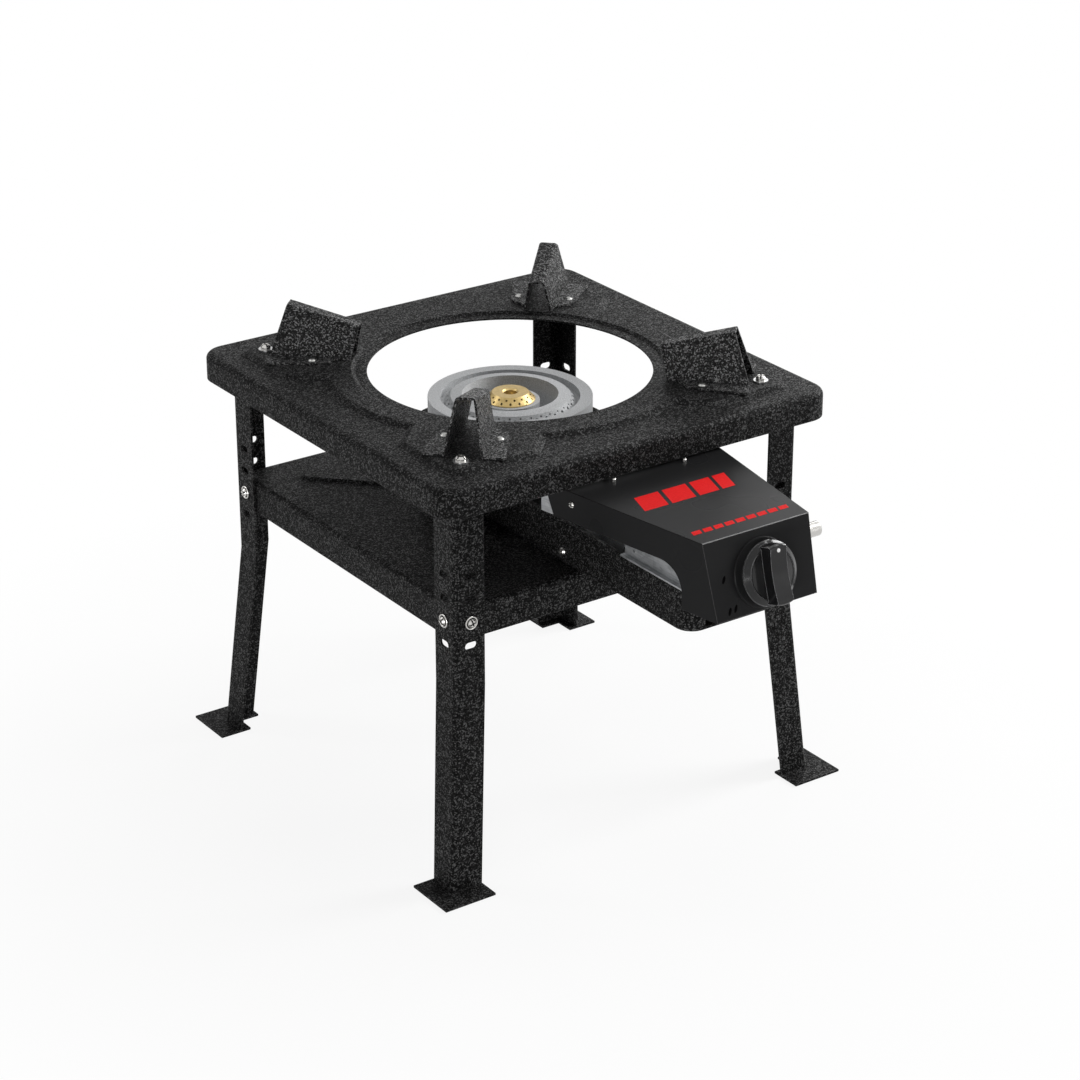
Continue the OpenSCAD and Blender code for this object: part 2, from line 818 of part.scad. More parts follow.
module channel_screws() {
    color(bright) stand() for (x = [-1, 1], y = channel_screw_y)
        translate([x * channel_screw_x, y, floor_z]) {
            button_head(small_head_r, small_head_h, small_recess_r);
            translate([0, 0, -channel_t - tray_t - 6])
                cylinder(r = channel_screw_r, h = channel_t + tray_t + 6.5);
        }
}

module channel_nuts() {
    color(bright) stand() for (x = [-1, 1], y = channel_screw_y)
        translate([x * channel_screw_x, y, tray_top - tray_t]) nut(7, 3.2, channel_screw_r + tapped);
}

module burner_dish() {
    lip = 3;
    color(black_coat) stand() difference() {
        translate([0, 0, channel_top]) rotate_extrude($fn = 96)
            polygon([
                [dish_hole_r, 0], [dish_flat_r, 0],
                [dish_r - lip, dish_h - dish_t], [dish_r, dish_h - dish_t],
                [dish_r, dish_h], [dish_r - lip - 0.6, dish_h],
                [dish_flat_r - 0.6, dish_t], [dish_hole_r, dish_t]
            ]);
        translate([tube_side, feed_y, channel_top - cut]) cylinder(r = tube_r + 0.8, h = dish_t + 2 * cut);
    }
}

module burner_body() {
    color(cast_metal) stand() difference() {
        union() {
            translate([0, 0, body_floor]) cylinder(r = ring_r, h = body_top - body_floor);
            translate([0, 0, floor_z]) cylinder(r = neck_r, h = body_floor - floor_z + cut);
            translate([0, 0, body_floor]) cylinder(r = hub_r, h = hub_top - body_floor);
            for (x = [-1, 1]) {
                translate([x * tube_side, 0, tube_z]) rotate([90, 0, 0]) {
                    cylinder(r = tube_r, h = tube_len);
                    translate([0, 0, tube_len - 26]) cylinder(r1 = tube_r, r2 = mouth_r, h = 22);
                    translate([0, 0, tube_len - 4]) cylinder(r = mouth_r, h = 4);
                }
                translate([x * burner_lug_x, burner_lug_y, floor_z])
                    cylinder(r = burner_lug_r, h = burner_lug_h);
                translate([x * burner_lug_x - burner_lug_r, burner_lug_y - 18, floor_z])
                    cube([2 * burner_lug_r, 18, burner_lug_h]);
            }
            translate([tube_side, feed_y, tube_z]) cylinder(r = tube_r, h = body_floor - tube_z + cut);
        }
        difference() {
            translate([0, 0, body_floor + 4]) cylinder(r = chamber_r, h = body_top);
            translate([0, 0, body_floor - cut]) cylinder(r = ring_seat_r, h = body_top);
        }
        translate([0, 0, body_top]) difference() {
            cylinder(r = ring_r + cut, h = hub_top);
            translate([0, 0, -cut]) cylinder(r = hub_r, h = hub_top + 2 * cut);
        }
        translate([0, 0, tube_z]) cylinder(r = hub_bore_r, h = hub_top);
        translate([-tube_side, -hub_bore_r * 0.4, tube_z])
            rotate([90, 0, 0]) cylinder(r = tube_bore_r, h = tube_len);
        translate([tube_side, feed_y, tube_z])
            rotate([90, 0, 0]) cylinder(r = tube_bore_r, h = tube_len);
        translate([tube_side, feed_y, tube_z]) cylinder(r = tube_bore_r, h = body_floor - tube_z + 5);
        for (x = [-1, 1]) {
            translate([x * tube_side, -tube_len + 22, tube_z]) rotate([90, 0, 0])
                cylinder(r1 = tube_bore_r, r2 = mouth_r - 1.8, h = 22 + 0.01);
            translate([x * burner_lug_x, burner_lug_y, floor_z - cut])
                cylinder(r = burner_screw_r + loose, h = burner_lug_h + 3);
        }
    }
}

module burner_screws() {
    color(bright) stand() for (x = [-1, 1])
        translate([x * burner_lug_x, burner_lug_y, 0]) {
            translate([0, 0, floor_z + burner_lug_h]) button_head(4.6, 3, 2);
            translate([0, 0, tray_top + 0.1])
                cylinder(r = burner_screw_r, h = channel_t + burner_lug_h + 0.4);
        }
}

// Removable ring head: flat rim, groove, port slope and bowl, hollow underneath
module burner_ring() {
    color(cast_metal) stand() difference() {
        ring_form();
        for (i = [0 : port_count - 1]) {
            rotate(i * 360 / port_count) ring_port(ring_rim_in_r - 6, port_r);
            rotate((i + 0.5) * 360 / port_count) ring_port(ring_rim_in_r - 7.4, port_r * 0.62);
        }
    }
}

// One port, drilled square to the slope, whose middle is at radius r on it
module ring_port(r, bore_r) {
    fall = (slope_top_z - slope_foot_z) / (slope_foot_r - slope_top_r);
    translate([r, 0, slope_top_z - (r - slope_top_r) * fall])
        rotate([0, 90 - atan(1 / fall), 0])
            translate([0, 0, -7]) cylinder(r = bore_r, h = 9);
}

module ring_form() {
    bowl_foot = rim_z - bowl_depth;
    rotate_extrude($fn = 96)
        difference() {
            polygon([
                [hub_r + 1.5, body_top], [chamber_r - 4, body_top], [chamber_r - 4, body_top - 5],
                [chamber_r - 0.4, body_top - 5], [chamber_r - 0.4, body_top],
                [ring_r, body_top], [ring_r, rim_z],
                [ring_rim_in_r, rim_z], [ring_rim_in_r, slope_foot_z], [slope_foot_r, slope_foot_z],
                [slope_top_r, slope_top_z], [bowl_r, lip_z], [bowl_r - 6.4, bowl_foot],
                [hub_r + 1.5, bowl_foot - 2]
            ]);
            polygon([
                [ring_seat_r + 4, body_top - cut], [chamber_r - 4, body_top - cut],
                [chamber_r - 4, body_top + 13], [ring_rim_in_r - 6, rim_z - 10.5],
                [ring_rim_in_r - 13, lip_z - 6], [bowl_r + 2.6, lip_z - 6],
                [bowl_r - 2.4, bowl_foot - 5]
            ]);
        }
}

module burner_cap() {
    color(brass_tone) stand() difference() {
        cap_form();
        for (i = [0 : cap_port_count - 1]) {
            rotate(i * 360 / cap_port_count)
                translate([cap_r - 4.1, 0, cap_base + 5])
                    rotate([0, 45, 0]) cylinder(r = 0.95, h = 12, center = true);
            rotate((i + 0.5) * 360 / cap_port_count)
                translate([hub_bore_r - 4, 0, cap_base + 2.4])
                    rotate([0, 90, 0]) cylinder(r = 0.95, h = cap_r);
        }
    }
}

module cap_form() {
    rotate_extrude()
        difference() {
            union() {
                polygon([
                    [0, cap_base], [cap_r, cap_base], [cap_r, cap_base + 0.8],
                    [cap_top_r, cap_base + cap_h], [0, cap_base + cap_h]
                ]);
                translate([0, cap_base - 9]) square([hub_bore_r - 0.4, 9.5]);
            }
            polygon([
                [0, cap_base - 10], [hub_bore_r - 2.6, cap_base - 10],
                [hub_bore_r - 2.6, cap_base + 1], [cap_top_r - 3, cap_base + cap_h - 2.4],
                [0, cap_base + cap_h - 2.4]
            ]);
            polygon([
                [0, cap_base], [cap_hole_r - 1.4, cap_base],
                [cap_hole_r - 1.4, cap_base + cap_h - 1.4], [cap_hole_r, cap_base + cap_h + 0.01],
                [0, cap_base + cap_h + 0.01]
            ]);
        }
}

module tube_saddle() {
    color(zinc) stand() difference() {
        union() {
            translate([-saddle_half, saddle_y - saddle_t / 2, floor_z])
                cube([2 * saddle_half, saddle_t, tube_h + tube_r]);
            for (x = [-1, 1])
                translate([x * (saddle_half - saddle_t / 2) - saddle_t / 2, saddle_y - 7, floor_z])
                    cube([saddle_t, 14, 14]);
        }
        for (x = [-1, 1]) {
            translate([x * tube_side, saddle_y, tube_z])
                rotate([90, 0, 0]) cylinder(r = tube_r + tapped, h = 10, center = true);
            translate([x * saddle_half, saddle_y, saddle_screw_z])
                rotate([0, 90, 0]) cylinder(r = saddle_screw_r + tapped, h = 12, center = true);
        }
        translate([-tube_side - tube_r, saddle_y - 5, tube_z])
            cube([2 * (tube_side + tube_r), 10, tube_r + tube_h]);
    }
}

module saddle_screws() {
    color(bright) stand() for (x = [-1, 1])
        translate([x * channel_half, saddle_y, saddle_screw_z]) rotate([0, x * 90, 0]) {
            button_head(small_head_r, small_head_h, small_recess_r);
            translate([0, 0, -channel_t - 0.3 - saddle_t - 2.2])
                cylinder(r = saddle_screw_r, h = channel_t + saddle_t + 2.7);
        }
}

// Slotted disc that closes the mouth of a mixing tube
module air_shutter(x) {
    color(zinc) stand() translate([x * tube_side, shutter_y, tube_z]) rotate([90, 0, 0])
        linear_extrude(shutter_t) difference() {
            circle(mouth_r);
            circle(nozzle_r + run);
            for (a = [0, 120, 240]) rotate(a)
                intersection() {
                    difference() {
                        circle(mouth_r - 2.5);
                        circle(nozzle_r + 3);
                    }
                    polygon([[0, 0], [30, -14], [30, 14]]);
                }
        }
}

module air_shutter_outer() air_shutter(1);
module air_shutter_inner() air_shutter(-1);

module shutter_springs() {
    spring_y = shutter_y - shutter_t - 0.1;
    spring_l = spring_y - jet_y - jet_hex_h;
    color(bright) stand() for (x = [-1, 1])
        translate([x * tube_side, spring_y, tube_z]) rotate([90, 0, 0]) difference() {
            cylinder(r = nozzle_r + 1.6, h = spring_l);
            translate([0, 0, -cut]) cylinder(r = nozzle_r + 0.3, h = spring_l + 2 * cut);
        }
}

module jet_bracket() {
    foot_w = jet_bracket_w + 12;
    color(zinc) stand() difference() {
        union() {
            translate([-jet_bracket_w / 2, jet_y - jet_bracket_t, floor_z])
                cube([jet_bracket_w, jet_bracket_t, tube_h + 11]);
            translate([-foot_w / 2, jet_y - jet_foot_d, floor_z])
                cube([foot_w, jet_foot_d, jet_bracket_t]);
        }
        for (x = [-1, 1]) {
            translate([x * tube_side, jet_y, tube_z])
                rotate([90, 0, 0]) cylinder(r = jet_thread_r + tapped, h = 10, center = true);
            translate([x * jet_screw_x, jet_screw_y, floor_z - cut])
                cylinder(r = 2 + loose, h = 5);
        }
    }
}

module jet_screws() {
    color(bright) stand() for (x = [-1, 1])
        translate([x * jet_screw_x, jet_screw_y, 0]) {
            translate([0, 0, floor_z + jet_bracket_t])
                button_head(small_head_r, small_head_h, small_recess_r);
            translate([0, 0, tray_top - 5]) cylinder(r = 2, h = channel_t + 7);
        }
}

// Brass jet: threaded tail through the bracket, hexagon in front, nozzle in the tube's mouth
module jet(x) {
    color(brass_tone) stand() translate([x * tube_side, jet_y, tube_z]) rotate([-90, 0, 0]) difference() {
        union() {
            cylinder(r = jet_thread_r + 1.9, h = jet_hex_h, $fn = 6);
            translate([0, 0, 4]) cylinder(r = nozzle_r, h = 12);
            translate([0, 0, 16]) cylinder(r1 = nozzle_r, r2 = 1.8, h = 4);
            translate([0, 0, -9]) cylinder(r = jet_thread_r, h = 10);
        }
        translate([0, 0, -9 - cut]) cylinder(r = jet_bore_r, h = 24);
        translate([0, 0, -cut]) cylinder(r = 0.8, h = 24);
    }
}

module outer_jet() jet(1);
module inner_jet() jet(-1);

// Straight round rod from one point to another
module rod(a, b, r) {
    d = b - a;
    len = norm(d);
    translate(a) rotate([0, acos(d[2] / len), atan2(d[1], d[0])]) cylinder(r = r, h = len);
}

// Point given along the knob's axis: x to the right, y up the face, s behind the face
function tap_point(x, y, s) = [
    x,
    axis_y + y * sin(face_tilt) + s * cos(face_tilt),
    axis_z + y * cos(face_tilt) - s * sin(face_tilt)
];

module gas_pipes() {
    color(brass_tone) stand() for (x = [-1, 1]) {
        a = tap_point(x * outlet_x, -outlet_drop, body_end + 6);
        b = tap_point(x * outlet_x, -outlet_drop, body_end + 14);
        c = [x * tube_side, jet_y - 17, tube_z];
        d = [x * tube_side, jet_y - 9, tube_z];
        rod(a, b, pipe_r);
        rod(b, c, pipe_r);
        rod(c, d, pipe_r);
        for (p = [b, c]) translate(p) sphere(pipe_r + 0.3);
        rod(d - [0, 3, 0], d, union_r);
        rod(a, a + (b - a) * 0.4, union_r);
    }
}

// Half width of the cover's outer side at a given y
function side_x(y) = cover_half_front + (y - cover_front) * tan(cover_taper);

// Plan and side view of the cover's outer form, drawn in by the wall
module cover_solid(t) {
    rear = cover_rear + (t > 0 ? cut : 0);
    low_y = face_low_y + t / cos(face_tilt);
    top_y = cover_front + t / cos(face_tilt) - t * tan(face_tilt);
    slant = t / cos(cover_taper);
    front = face_low_y - cut;
    intersection() {
        linear_extrude(cover_top - t)
            polygon([
                [-side_x(rear) + slant, rear], [side_x(rear) - slant, rear],
                [side_x(front) - slant, front], [-side_x(front) + slant, front]
            ]);
        rotate([90, 0, 90]) linear_extrude(plate_w, center = true)
            polygon([
                [rear, cover_top - t], [top_y, cover_top - t],
                [low_y + (t > 0 ? -cut * tan(face_tilt) : 0), face_low_z - (t > 0 ? cut : 0)],
                [rear - (cover_top - face_low_z) * tan(side_slant), face_low_z - (t > 0 ? cut : 0)]
            ]);
    }
}

// Side view of the window cut under each side wall, with its concave front end
module side_window() {
    r = 24;
    front = cover_front + 20;
    rotate([90, 0, 90]) linear_extrude(plate_w, center = true) difference() {
        union() {
            translate([front + r, face_low_z - 5]) square([cover_rear - front, side_low - face_low_z + 5]);
            translate([front, face_low_z - 5]) square([r + cut, side_low - face_low_z + 5 - r]);
            intersection() {
                translate([front + r, side_low - r]) circle(r);
                translate([front, side_low - r - 4]) square([3 * r, r + 4]);
            }
        }
    }
}

// Moves to the knob's axis on the front face, +Z out of the face and +Y up along it
module on_face() {
    translate([0, axis_y, axis_z]) rotate([90 - face_tilt, 0, 0]) children();
}

// Moves to a point of the left or right side wall, +Z out of the wall
module on_side(s, y, z) {
    translate([s * side_x(y), y, z]) rotate([0, 0, -s * cover_taper]) rotate([0, s * 90, 0]) children();
}

module control_cover() {
    color(satin_black) stand() difference() {
        cover_solid(0);
        cover_solid(cover_t);
        side_window();
        on_face() cylinder(r = 11, h = 12, center = true);
        for (x = [-1, 1]) {
            translate([x * stud_x, stud_y, cover_top - 5]) cylinder(r = stud_r + loose, h = 10);
            translate([x * pin_x, pin_y, cover_top - 5]) cylinder(r = pin_r - 0.4, h = 10);
            on_side(x, cover_screw_y, cover_screw_z)
                cylinder(r = side_screw_r + 0.4, h = 10, center = true);
        }
    }
}

// Two small round-headed pins that join the cover's top to the bracket
module cover_pins() {
    color(bright) stand() for (x = [-1, 1]) translate([x * pin_x, pin_y, 0]) {
        translate([0, 0, cover_top]) {
            cylinder(r = pin_r, h = 1.9);
            translate([0, 0, 1.9]) cylinder(r1 = pin_r, r2 = pin_r - 0.6, h = 0.7);
        }
        translate([0, 0, bracket_top - bracket_t - 1])
            cylinder(r = pin_r - 0.42, h = cover_t + bracket_t + 1.5);
    }
}

module cover_studs() {
    color(bright) stand() for (x = [-1, 1])
        translate([x * stud_x, stud_y, cover_top - 12])
            cylinder(r = stud_r, h = under_flat - cover_top + 12);
}

module cover_nuts() {
    color(bright) stand() for (x = [-1, 1])
        translate([x * stud_x, stud_y, bracket_top - bracket_t]) nut(8, 4, stud_r + tapped);
}

module cover_screws() {
    color(bright) stand() for (x = [-1, 1])
        on_side(x, cover_screw_y, cover_screw_z) {
            button_head(side_head_r, side_head_h, small_recess_r);
            translate([0, 0, -cover_t - bracket_t - 3])
                cylinder(r = side_screw_r, h = cover_t + bracket_t + 3.4);
        }
}

// Folded bracket that hangs from the studs, stands on the channel and carries the tap
module valve_bracket() {
    color(zinc) stand() difference() {
        union() {
            difference() {
                translate([0, 0, bracket_top - bracket_t]) linear_extrude(bracket_t) bracket_plan();
                on_face() translate([-plate_w, -plate_w, -bracket_front_s])
                    cube([2 * plate_w, 2 * plate_w, plate_w / 2]);
            }
            intersection() {
                on_face() translate([-front_plate_half, -axis_z, -flange_s])
                    cube([2 * front_plate_half, 2 * axis_z, bracket_t]);
                translate([-plate_w, -plate_w, channel_top + 1])
                    cube([2 * plate_w, plate_w, bracket_top - channel_top - 1]);
            }
            for (s = [0, 1]) mirror([s, 0, 0]) {
                bracket_wall();
                bracket_tab();
            }
        }
        on_face() {
            translate([0, 0, -flange_s - cut]) cylinder(r = 7, h = 10);
            for (x = [-1, 1])
                translate([x * valve_ear, 0, -flange_s - cut])
                    cylinder(r = side_screw_r + tapped, h = 10);
        }
        for (x = [-1, 1]) {
            translate([x * stud_x, stud_y, bracket_top - 5]) cylinder(r = stud_r + loose, h = 10);
            translate([x * pin_x, pin_y, bracket_top - 5]) cylinder(r = pin_r - 0.42 + tapped, h = 10);
            on_side(x, cover_screw_y, cover_screw_z)
                cylinder(r = side_screw_r + tapped, h = 10, center = true);
            translate([x * bracket_half, bracket_wall_y - 12, channel_top + 7])
                rotate([0, 90, 0]) cylinder(r = 1.2, h = 10, center = true);
        }
        translate([0, inlet_point[1], inlet_point[2]])
            rotate([0, 90, 0]) cylinder(r = inlet_r + 0.5, h = plate_w);
    }
}

// Outer side of the bracket's rear tabs, just inside the cover's side walls
function tab_x(y) = side_x(y) - cover_t - 0.1;

// Outline of the bracket's top: narrow at the front, as wide as the cover at the back
module bracket_plan() {
    polygon([
        [-bracket_half, cover_front], [bracket_half, cover_front], [bracket_half, tab_front],
        [tab_x(tab_front), tab_front], [tab_x(bracket_rear), bracket_rear],
        [-tab_x(bracket_rear), bracket_rear], [-tab_x(tab_front), tab_front], [-bracket_half, tab_front]
    ]);
}

// Side wall of the bracket with the lip by which it stands on the channel
module bracket_wall() {
    translate([0, bracket_wall_y, channel_top]) rotate([90, 0, 0])
        linear_extrude(channel_front - 2 + bracket_wall_y)
            polygon([
                [bracket_half - bracket_t, 0], [bracket_half + bracket_lip, 0],
                [bracket_half + bracket_lip, bracket_t], [bracket_half, bracket_t],
                [bracket_half, bracket_top - channel_top - bracket_t / 2],
                [bracket_half - bracket_t, bracket_top - channel_top - bracket_t / 2]
            ]);
}

// Tab at the back of the bracket that takes the cover's side screw
module bracket_tab() {
    translate([0, 0, side_low]) linear_extrude(bracket_top - side_low - bracket_t / 2)
        polygon([
            [tab_x(tab_front), tab_front], [tab_x(bracket_rear), bracket_rear],
            [tab_x(bracket_rear) - bracket_t, bracket_rear], [tab_x(tab_front) - bracket_t, tab_front]
        ]);
}

// Tap body: front flange with two ears, barrel, inlet boss and two outlet bosses
module valve_body() {
    color(brass_tone) stand() difference() {
        union() {
            on_face() {
                translate([0, 0, -flange_s - valve_flange_t]) {
                    cylinder(r = valve_r, h = valve_flange_t);
                    for (x = [-1, 1])
                        translate([x * valve_ear, 0, 0]) cylinder(r = ear_r, h = valve_flange_t);
                    translate([-valve_ear, -ear_r, 0]) cube([2 * valve_ear, 2 * ear_r, valve_flange_t]);
                }
                translate([0, 0, -body_end]) cylinder(r = valve_r, h = body_end - flange_s);
                for (x = [-1, 1])
                    translate([x * outlet_x, -outlet_drop, -body_end - 6])
                        cylinder(r = union_r, h = 20);
            }
            translate([0, inlet_point[1], inlet_point[2]])
                rotate([0, 90, 0]) cylinder(r = boss_r, h = valve_r + 10);
        }
        on_face() {
            translate([0, 0, -plug_s - plug_len])
                cylinder(r1 = plug_r2 + run, r2 = plug_r1 + run, h = plug_len);
            translate([0, 0, -plug_s - 0.01]) cylinder(r = plug_r1 + run, h = plug_s);
            translate([0, 0, -body_end + 4]) cylinder(r = plug_r2 - 1.4, h = 20);
            for (x = [-1, 1])
                translate([x * outlet_x, -outlet_drop, -body_end - 7]) cylinder(r = 2.2, h = 20);
            for (x = [-1, 1])
                translate([x * valve_ear, 0, -flange_s - 6])
                    cylinder(r = side_screw_r + 0.05, h = 8);
        }
        translate([0, inlet_point[1], inlet_point[2]])
            rotate([0, 90, 0]) cylinder(r = gas_way_r, h = valve_r + 20);
    }
}

module valve_screws() {
    color(bright) stand() on_face() for (x = [-1, 1])
        translate([x * valve_ear, 0, -flange_s - valve_flange_t]) {
            mirror([0, 0, 1]) button_head(side_head_r, side_head_h, 1.5);
            translate([0, 0, -0.4]) cylinder(r = side_screw_r, h = 6.2);
        }
}

module valve_gland() {
    color(brass_tone) stand() on_face() translate([0, 0, -gland_s - gland_t]) difference() {
        cylinder(r = plug_r1 + run - 0.01, h = gland_t);
        translate([0, 0, -cut]) cylinder(r = stem_r + run, h = gland_t + 2 * cut);
    }
}

// Tapered plug with a socket for the spindle and two cross ports
module valve_plug() {
    color(brass_tone) stand() on_face() translate([0, 0, -plug_s - plug_len]) difference() {
        cylinder(r1 = plug_r2, r2 = plug_r1, h = plug_len);
        translate([0, 0, plug_len - 14]) cylinder(r = stem_r + run, h = 14 + cut);
        translate([0, 0, -cut]) cylinder(r = 3.2, h = 9);
        for (z = [4, 9]) translate([0, 0, z]) rotate([90, 0, 0]) cylinder(r = 1.7, h = 12);
    }
}

module stem_spring() {
    color(bright) stand() on_face() translate([0, 0, -plug_s]) difference() {
        cylinder(r = collar_r - 0.6, h = spring_len - knob_travel);
        translate([0, 0, -cut]) cylinder(r = stem_r + 0.5, h = spring_len + 2 * cut);
    }
}

module valve_stem() {
    color(zinc) stand() on_face() {
        translate([0, 0, -stem_in]) cylinder(r = stem_r, h = stem_in + knob_back + 8);
        translate([0, 0, -gland_s - gland_t - 0.1 - collar_t]) cylinder(r = collar_r, h = collar_t);
    }
}

// Knob: dished skirt with a raised grip bar whose sides are scooped
module control_knob() {
    rim = knob_back + 6.5;
    scoop_r = 2.3 * knob_r;
    dish_bend_r = pow(grip_r - 4.5, 2) / (2 * grip_dish) + grip_dish / 2;
    color("#141414") stand() on_face() difference() {
        union() {
            rotate_extrude() polygon([
                [0, knob_back], [knob_r - 4.5, knob_back], [knob_r - 0.6, rim - 4.2], [knob_r, rim - 3],
                [knob_r - 0.3, rim - 2.2], [knob_r - 4.6, rim + 1], [knob_r - 5.4, rim + 1.2],
                [knob_r - 6.6, rim + 0.6], [0, rim]
            ]);
            intersection() {
                translate([-grip_w / 2, -knob_r, knob_back + 2]) cube([grip_w, 2 * knob_r, knob_front]);
                rotate_extrude() {
                    translate([0, knob_back + 1])
                        square([grip_r, knob_front - knob_back - 1 - knob_edge_r]);
                    square([grip_r - knob_edge_r, knob_front]);
                    intersection() {
                        translate([grip_r - knob_edge_r, knob_front - knob_edge_r]) circle(knob_edge_r);
                        square([grip_r, knob_front]);
                    }
                }
                for (s = [-1, 1]) mirror([s < 0 ? 1 : 0, 0, 0])
                    difference() {
                        translate([-knob_r, -knob_r, 0]) cube([2 * knob_r, 2 * knob_r, knob_front]);
                        translate([grip_w / 2 + scoop_r - 1.2, 0, 0]) cylinder(r = scoop_r, h = knob_front);
                    }
            }
            translate([0, 0, knob_back]) cylinder(r = 9, h = 5);
        }
        translate([-knob_r, 0, knob_front - grip_dish + dish_bend_r])
            rotate([0, 90, 0]) cylinder(r = dish_bend_r, h = 2 * knob_r, $fn = 128);
        translate([0, 0, -cut]) cylinder(r = stem_r + 0.02, h = knob_back + 8 + cut);
        translate([0, grip_r - 5, knob_front - 0.8]) cylinder(r = 1.6, h = 4);
    }
}

module knob_pointer() {
    color("white") stand() on_face()
        translate([0, grip_r - 5, knob_front - 0.8]) cylinder(r = 1.58, h = 0.9);
}

module knob_bezel() {
    color("#111111") stand() on_face() rotate_extrude() polygon([
        [10.5, 0], [bezel_r, 0], [bezel_r, 0.9], [bezel_r - 0.7, bezel_t], [bezel_r - 7, bezel_t],
        [bezel_r - 8, bezel_t + 0.8], [bezel_r - 10, bezel_t + 0.8], [bezel_r - 11, bezel_t - 0.6],
        [10.5, bezel_t - 0.6]
    ]);
}

module inlet_seal() {
    seat = valve_r + 10;
    color("#7a3b2a") stand() translate([seat, inlet_point[1], inlet_point[2]])
        rotate([0, 90, 0]) difference() {
            cylinder(r = boss_r - 0.6, h = 1.2);
            translate([0, 0, -cut]) cylinder(r = gas_way_r, h = 4);
        }
}

// Nickel inlet: hexagon against the seal, a long tube and a plain end for the hose
module inlet_nipple() {
    seat = valve_r + 11.2;
    plain = 18;
    color(bright) stand() translate([seat, inlet_point[1], inlet_point[2]]) rotate([0, 90, 0]) difference() {
        union() {
            cylinder(r = inlet_hex_r, h = 9, $fn = 6);
            translate([0, 0, 5]) cylinder(r = inlet_r - 0.8, h = inlet_reach - seat - 5 - plain);
            translate([0, 0, inlet_reach - seat - plain]) cylinder(r = inlet_r, h = plain - 1);
            translate([0, 0, inlet_reach - seat - 1])
                cylinder(r1 = inlet_r, r2 = inlet_r - 1, h = 1);
        }
        translate([0, 0, -cut]) cylinder(r = 3.6, h = inlet_reach);
    }
}

top_plate();
pot_support_front_left();
pot_support_front_right();
pot_support_back_left();
pot_support_back_right();
support_rivets();
leg_front_left();
leg_front_right();
leg_back_left();
leg_back_right();
corner_bolts();
corner_washers();
corner_nuts();
drip_tray();
tray_screws();
tray_nuts();
burner_channel();
channel_screws();
channel_nuts();
burner_dish();
burner_body();
burner_screws();
burner_ring();
burner_cap();
tube_saddle();
saddle_screws();
air_shutter_outer();
air_shutter_inner();
shutter_springs();
jet_bracket();
jet_screws();
outer_jet();
inner_jet();
gas_pipes();
valve_bracket();
control_cover();
cover_studs();
cover_nuts();
cover_screws();
cover_pins();
valve_body();
valve_screws();
valve_gland();
valve_plug();
stem_spring();
valve_stem();
control_knob();
knob_pointer();
knob_bezel();
inlet_nipple();
inlet_seal();
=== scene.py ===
import json
import math

import bmesh
import bpy
from mathutils import Matrix, Vector


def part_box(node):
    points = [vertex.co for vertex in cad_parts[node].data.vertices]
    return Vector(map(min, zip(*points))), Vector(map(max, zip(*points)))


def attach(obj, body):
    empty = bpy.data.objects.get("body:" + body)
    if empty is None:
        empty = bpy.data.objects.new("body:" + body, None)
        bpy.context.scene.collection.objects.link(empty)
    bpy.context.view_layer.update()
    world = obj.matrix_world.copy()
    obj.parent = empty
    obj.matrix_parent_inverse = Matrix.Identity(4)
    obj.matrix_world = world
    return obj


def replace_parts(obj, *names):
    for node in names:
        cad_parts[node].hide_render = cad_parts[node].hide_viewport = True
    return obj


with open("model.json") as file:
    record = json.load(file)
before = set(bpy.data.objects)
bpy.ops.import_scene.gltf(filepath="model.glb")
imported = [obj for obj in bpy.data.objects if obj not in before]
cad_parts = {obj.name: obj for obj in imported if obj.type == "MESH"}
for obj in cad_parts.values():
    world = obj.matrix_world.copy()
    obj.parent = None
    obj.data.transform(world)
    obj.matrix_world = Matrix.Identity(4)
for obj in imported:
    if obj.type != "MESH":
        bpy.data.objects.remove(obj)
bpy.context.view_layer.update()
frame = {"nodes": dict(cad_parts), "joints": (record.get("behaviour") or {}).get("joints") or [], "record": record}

MM = 0.001

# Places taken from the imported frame
PLATE_LOW, PLATE_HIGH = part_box("top_plate")
BURNER_Y = (PLATE_LOW.y + PLATE_HIGH.y) / 2
TAP = next(j for j in frame["joints"] if j["name"] == "knob_turn")
TAP_POINT = Vector(TAP["pos_m"])
FACE_OUT = Vector(TAP["axis"]).normalized()
FACE_UP = Vector((0, FACE_OUT.z, -FACE_OUT.y))


def burner_point(x, y, z):
    """A point given in millimetres from the burner's axis, in metres in the row frame."""
    return Vector((x * MM, BURNER_Y + y * MM, z * MM))


# Materials

